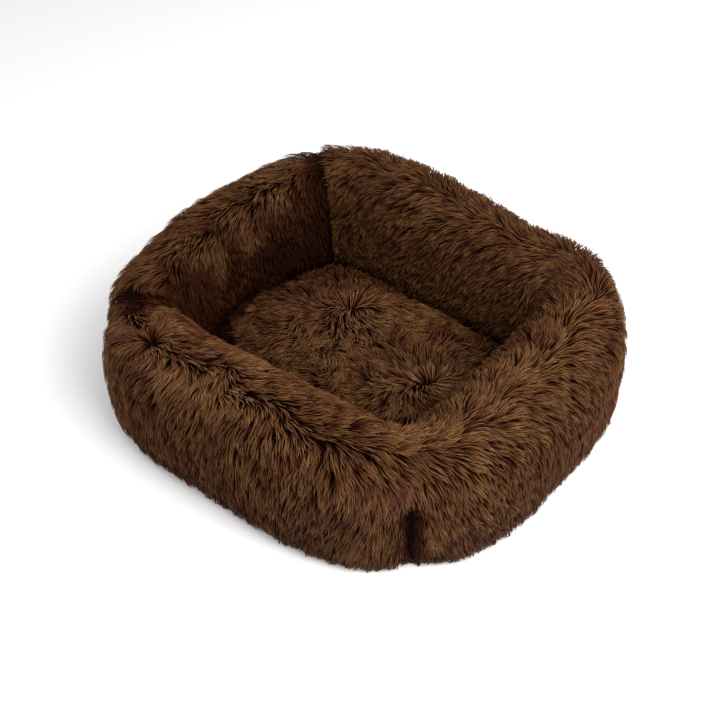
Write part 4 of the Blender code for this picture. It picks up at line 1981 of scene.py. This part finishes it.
@dataclass
class Zip:
    """The zip in the base cloth: two sewn tapes, two coils, their stops, and the slider with its pull."""

    nodes: dict[str, bpy.types.Object]
    sewing: Sewing
    shell: str = "bed_shell"
    pitch: float = 0.0016
    wire: float = 0.00028
    edge: float = 0.00022
    seam: float = 0.0018
    seam_end: float = 0.002
    metal: tuple[tuple[str, str, str], ...] = (
        ("zip_stop_left", "left_stop", "bed_shell"),
        ("zip_stop_right", "right_stop", "bed_shell"),
        ("zip_slider", "slider_body", "slider"),
        ("zip_pull", "pull_tab", "pull"),
    )

    def build(self) -> None:
        """Makes every piece of the zip."""
        tree = CoilTree().build()
        for side, towards in (("front", 1.0), ("rear", -1.0)):
            self._coil(side, tree)
            self._tape(side, towards)
        for node, name, body in self.metal:
            self._casting(node, name, body)

    def _coil(self, side: str, tree: bpy.types.NodeTree) -> None:
        """One wound coil.

        Args:
            side: Which side of the zip.
            tree: The winding tree.
        """
        low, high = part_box(f"zip_coil_{side}")
        holder = new_piece(f"{side}_coil", bpy.data.meshes.new("coil"))
        inputs = {
            "Length": high.x - low.x - 2 * self.wire,
            "Pitch": self.pitch,
            "Radius": (high.z - low.z) / 2 - self.wire,
            "Wire": self.wire,
            "Start": (low.x + self.wire, (low.y + high.y) / 2, (low.z + high.z) / 2),
            "Finish": COIL.build(),
        }
        coil = run_tree(holder, tree, inputs)
        set_out(coil, self.shell, f"zip_coil_{side}")

    def _tape(self, side: str, towards: float) -> None:
        """One woven tape with its seam.

        Args:
            side: Which side of the zip.
            towards: The sign of Y from the tape to the coils.
        """
        node = self.nodes[f"zip_tape_{side}"]
        low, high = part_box(node.name)
        seam = bmesh.new()
        near = (high.y if towards > 0 else low.y) - towards * self.seam
        ends = [seam.verts.new((x, near, low.z)) for x in (low.x + self.seam_end, high.x - self.seam_end)]
        seam.edges.new(ends)
        self.sewing.stitch(f"{side}_tape_stitches", piece_of("seam", seam), self.shell, "zip_tape")
        plate = ClothPlate(node)
        plate.sheet(f"{side}_tape", TAPE_WEAVE, self.shell)

    def _casting(self, node: str, name: str, body: str) -> None:
        """A metal piece with its edges rounded.

        Args:
            node: The CAD solid.
            name: The piece's name.
            body: The body it rides on.
        """
        cast = merged_copy(self.nodes[node])
        bmesh.ops.dissolve_limit(cast, angle_limit=math.radians(1.0), verts=cast.verts, edges=cast.edges)
        piece = piece_of(name, cast)
        bevel = piece.modifiers.new("rounded", "BEVEL")
        bevel.width = self.edge
        bevel.segments = 3
        bevel.limit_method = "ANGLE"
        piece = bake(piece)
        finish_with(piece, NICKEL)
        piece.data.set_sharp_from_angle(angle=METAL_SHARP)
        set_out(piece, body, node)


# --------------------------------------------------------------------------------------------------
# Studio


@dataclass
class Studio:
    """Floor, light and camera."""

    azimuth: float = 38.6
    elevation: float = 41.8
    distance: float = 1.745
    target: Triple = (-0.002, -0.002, 0.045)
    lens: float = 70.0
    sensor: float = 36.0
    daylight: float = 0.73
    floor_reach: float = 6.0

    def build(self) -> None:
        """Sets the scene."""
        self._floor()
        self._world()
        self._area("key", (0.78, -0.22, 0.90), 0.9, 18.5, (1.0, 0.97, 0.93))
        self._area("fill", (-0.3, -1.2, 0.9), 1.2, 5.5, (0.97, 0.98, 1.0))
        self._area("rim", (0.5, 1.1, 1.0), 1.0, 8.0, (1.0, 1.0, 1.0))
        self._camera()
        bpy.context.scene.view_settings.view_transform = "Standard"

    def _floor(self) -> None:
        """A pale floor."""
        body = bmesh.new()
        bmesh.ops.create_grid(body, x_segments=1, y_segments=1, size=self.floor_reach)
        floor = piece_of("floor", body)
        finish_with(floor, FLOOR)
        floor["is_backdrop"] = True

    def _world(self) -> None:
        """Even white light from all round."""
        world = bpy.data.worlds.new("studio")
        world.use_nodes = True
        background = world.node_tree.nodes["Background"]
        background.inputs["Color"].default_value = (1.0, 1.0, 1.0, 1.0)
        background.inputs["Strength"].default_value = self.daylight
        bpy.context.scene.world = world

    def _area(self, name: str, at: Triple, size: float, power: float, colour: Triple) -> None:
        """A soft light that faces the bed.

        Args:
            name: The light's name.
            at: Its place.
            size: Its side.
            power: Its power in watts.
            colour: Its colour.
        """
        data = bpy.data.lights.new(name, "AREA")
        data.size = size
        data.energy = power
        data.color = colour
        light = bpy.data.objects.new(name, data)
        bpy.context.scene.collection.objects.link(light)
        light.location = at
        light.rotation_euler = (Vector(self.target) - Vector(at)).to_track_quat("-Z", "Y").to_euler()

    def _camera(self) -> None:
        """The camera, on its circle round the bed."""
        turn, rise = math.radians(self.azimuth), math.radians(self.elevation)
        back = Vector((math.sin(turn) * math.cos(rise), -math.cos(turn) * math.cos(rise), math.sin(rise)))
        data = bpy.data.cameras.new("camera")
        data.lens = self.lens
        data.sensor_width = self.sensor
        camera = bpy.data.objects.new("camera", data)
        bpy.context.scene.collection.objects.link(camera)
        camera.location = Vector(self.target) + back * self.distance
        camera.rotation_euler = (-back).to_track_quat("-Z", "Y").to_euler()
        bpy.context.scene.camera = camera


def main() -> None:
    """Builds the bed and its studio."""
    logging.basicConfig(level=logging.INFO, format="%(name)s: %(message)s")
    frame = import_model()
    nodes = frame["nodes"]
    cad_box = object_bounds()
    plan = Plan.from_frame(cad_box)
    grower = PileGrower(PileTree().build(), Strand().build())
    StuffedWalls(plan, nodes, grower).build()
    SeatCushion(plan, nodes, grower).build()
    sewing = Sewing()
    SeatBottom(nodes, sewing).build()
    BedFloor(nodes, sewing).build()
    Zip(nodes, sewing).build()
    Studio().build()


if __name__ == "__main__":
    main()
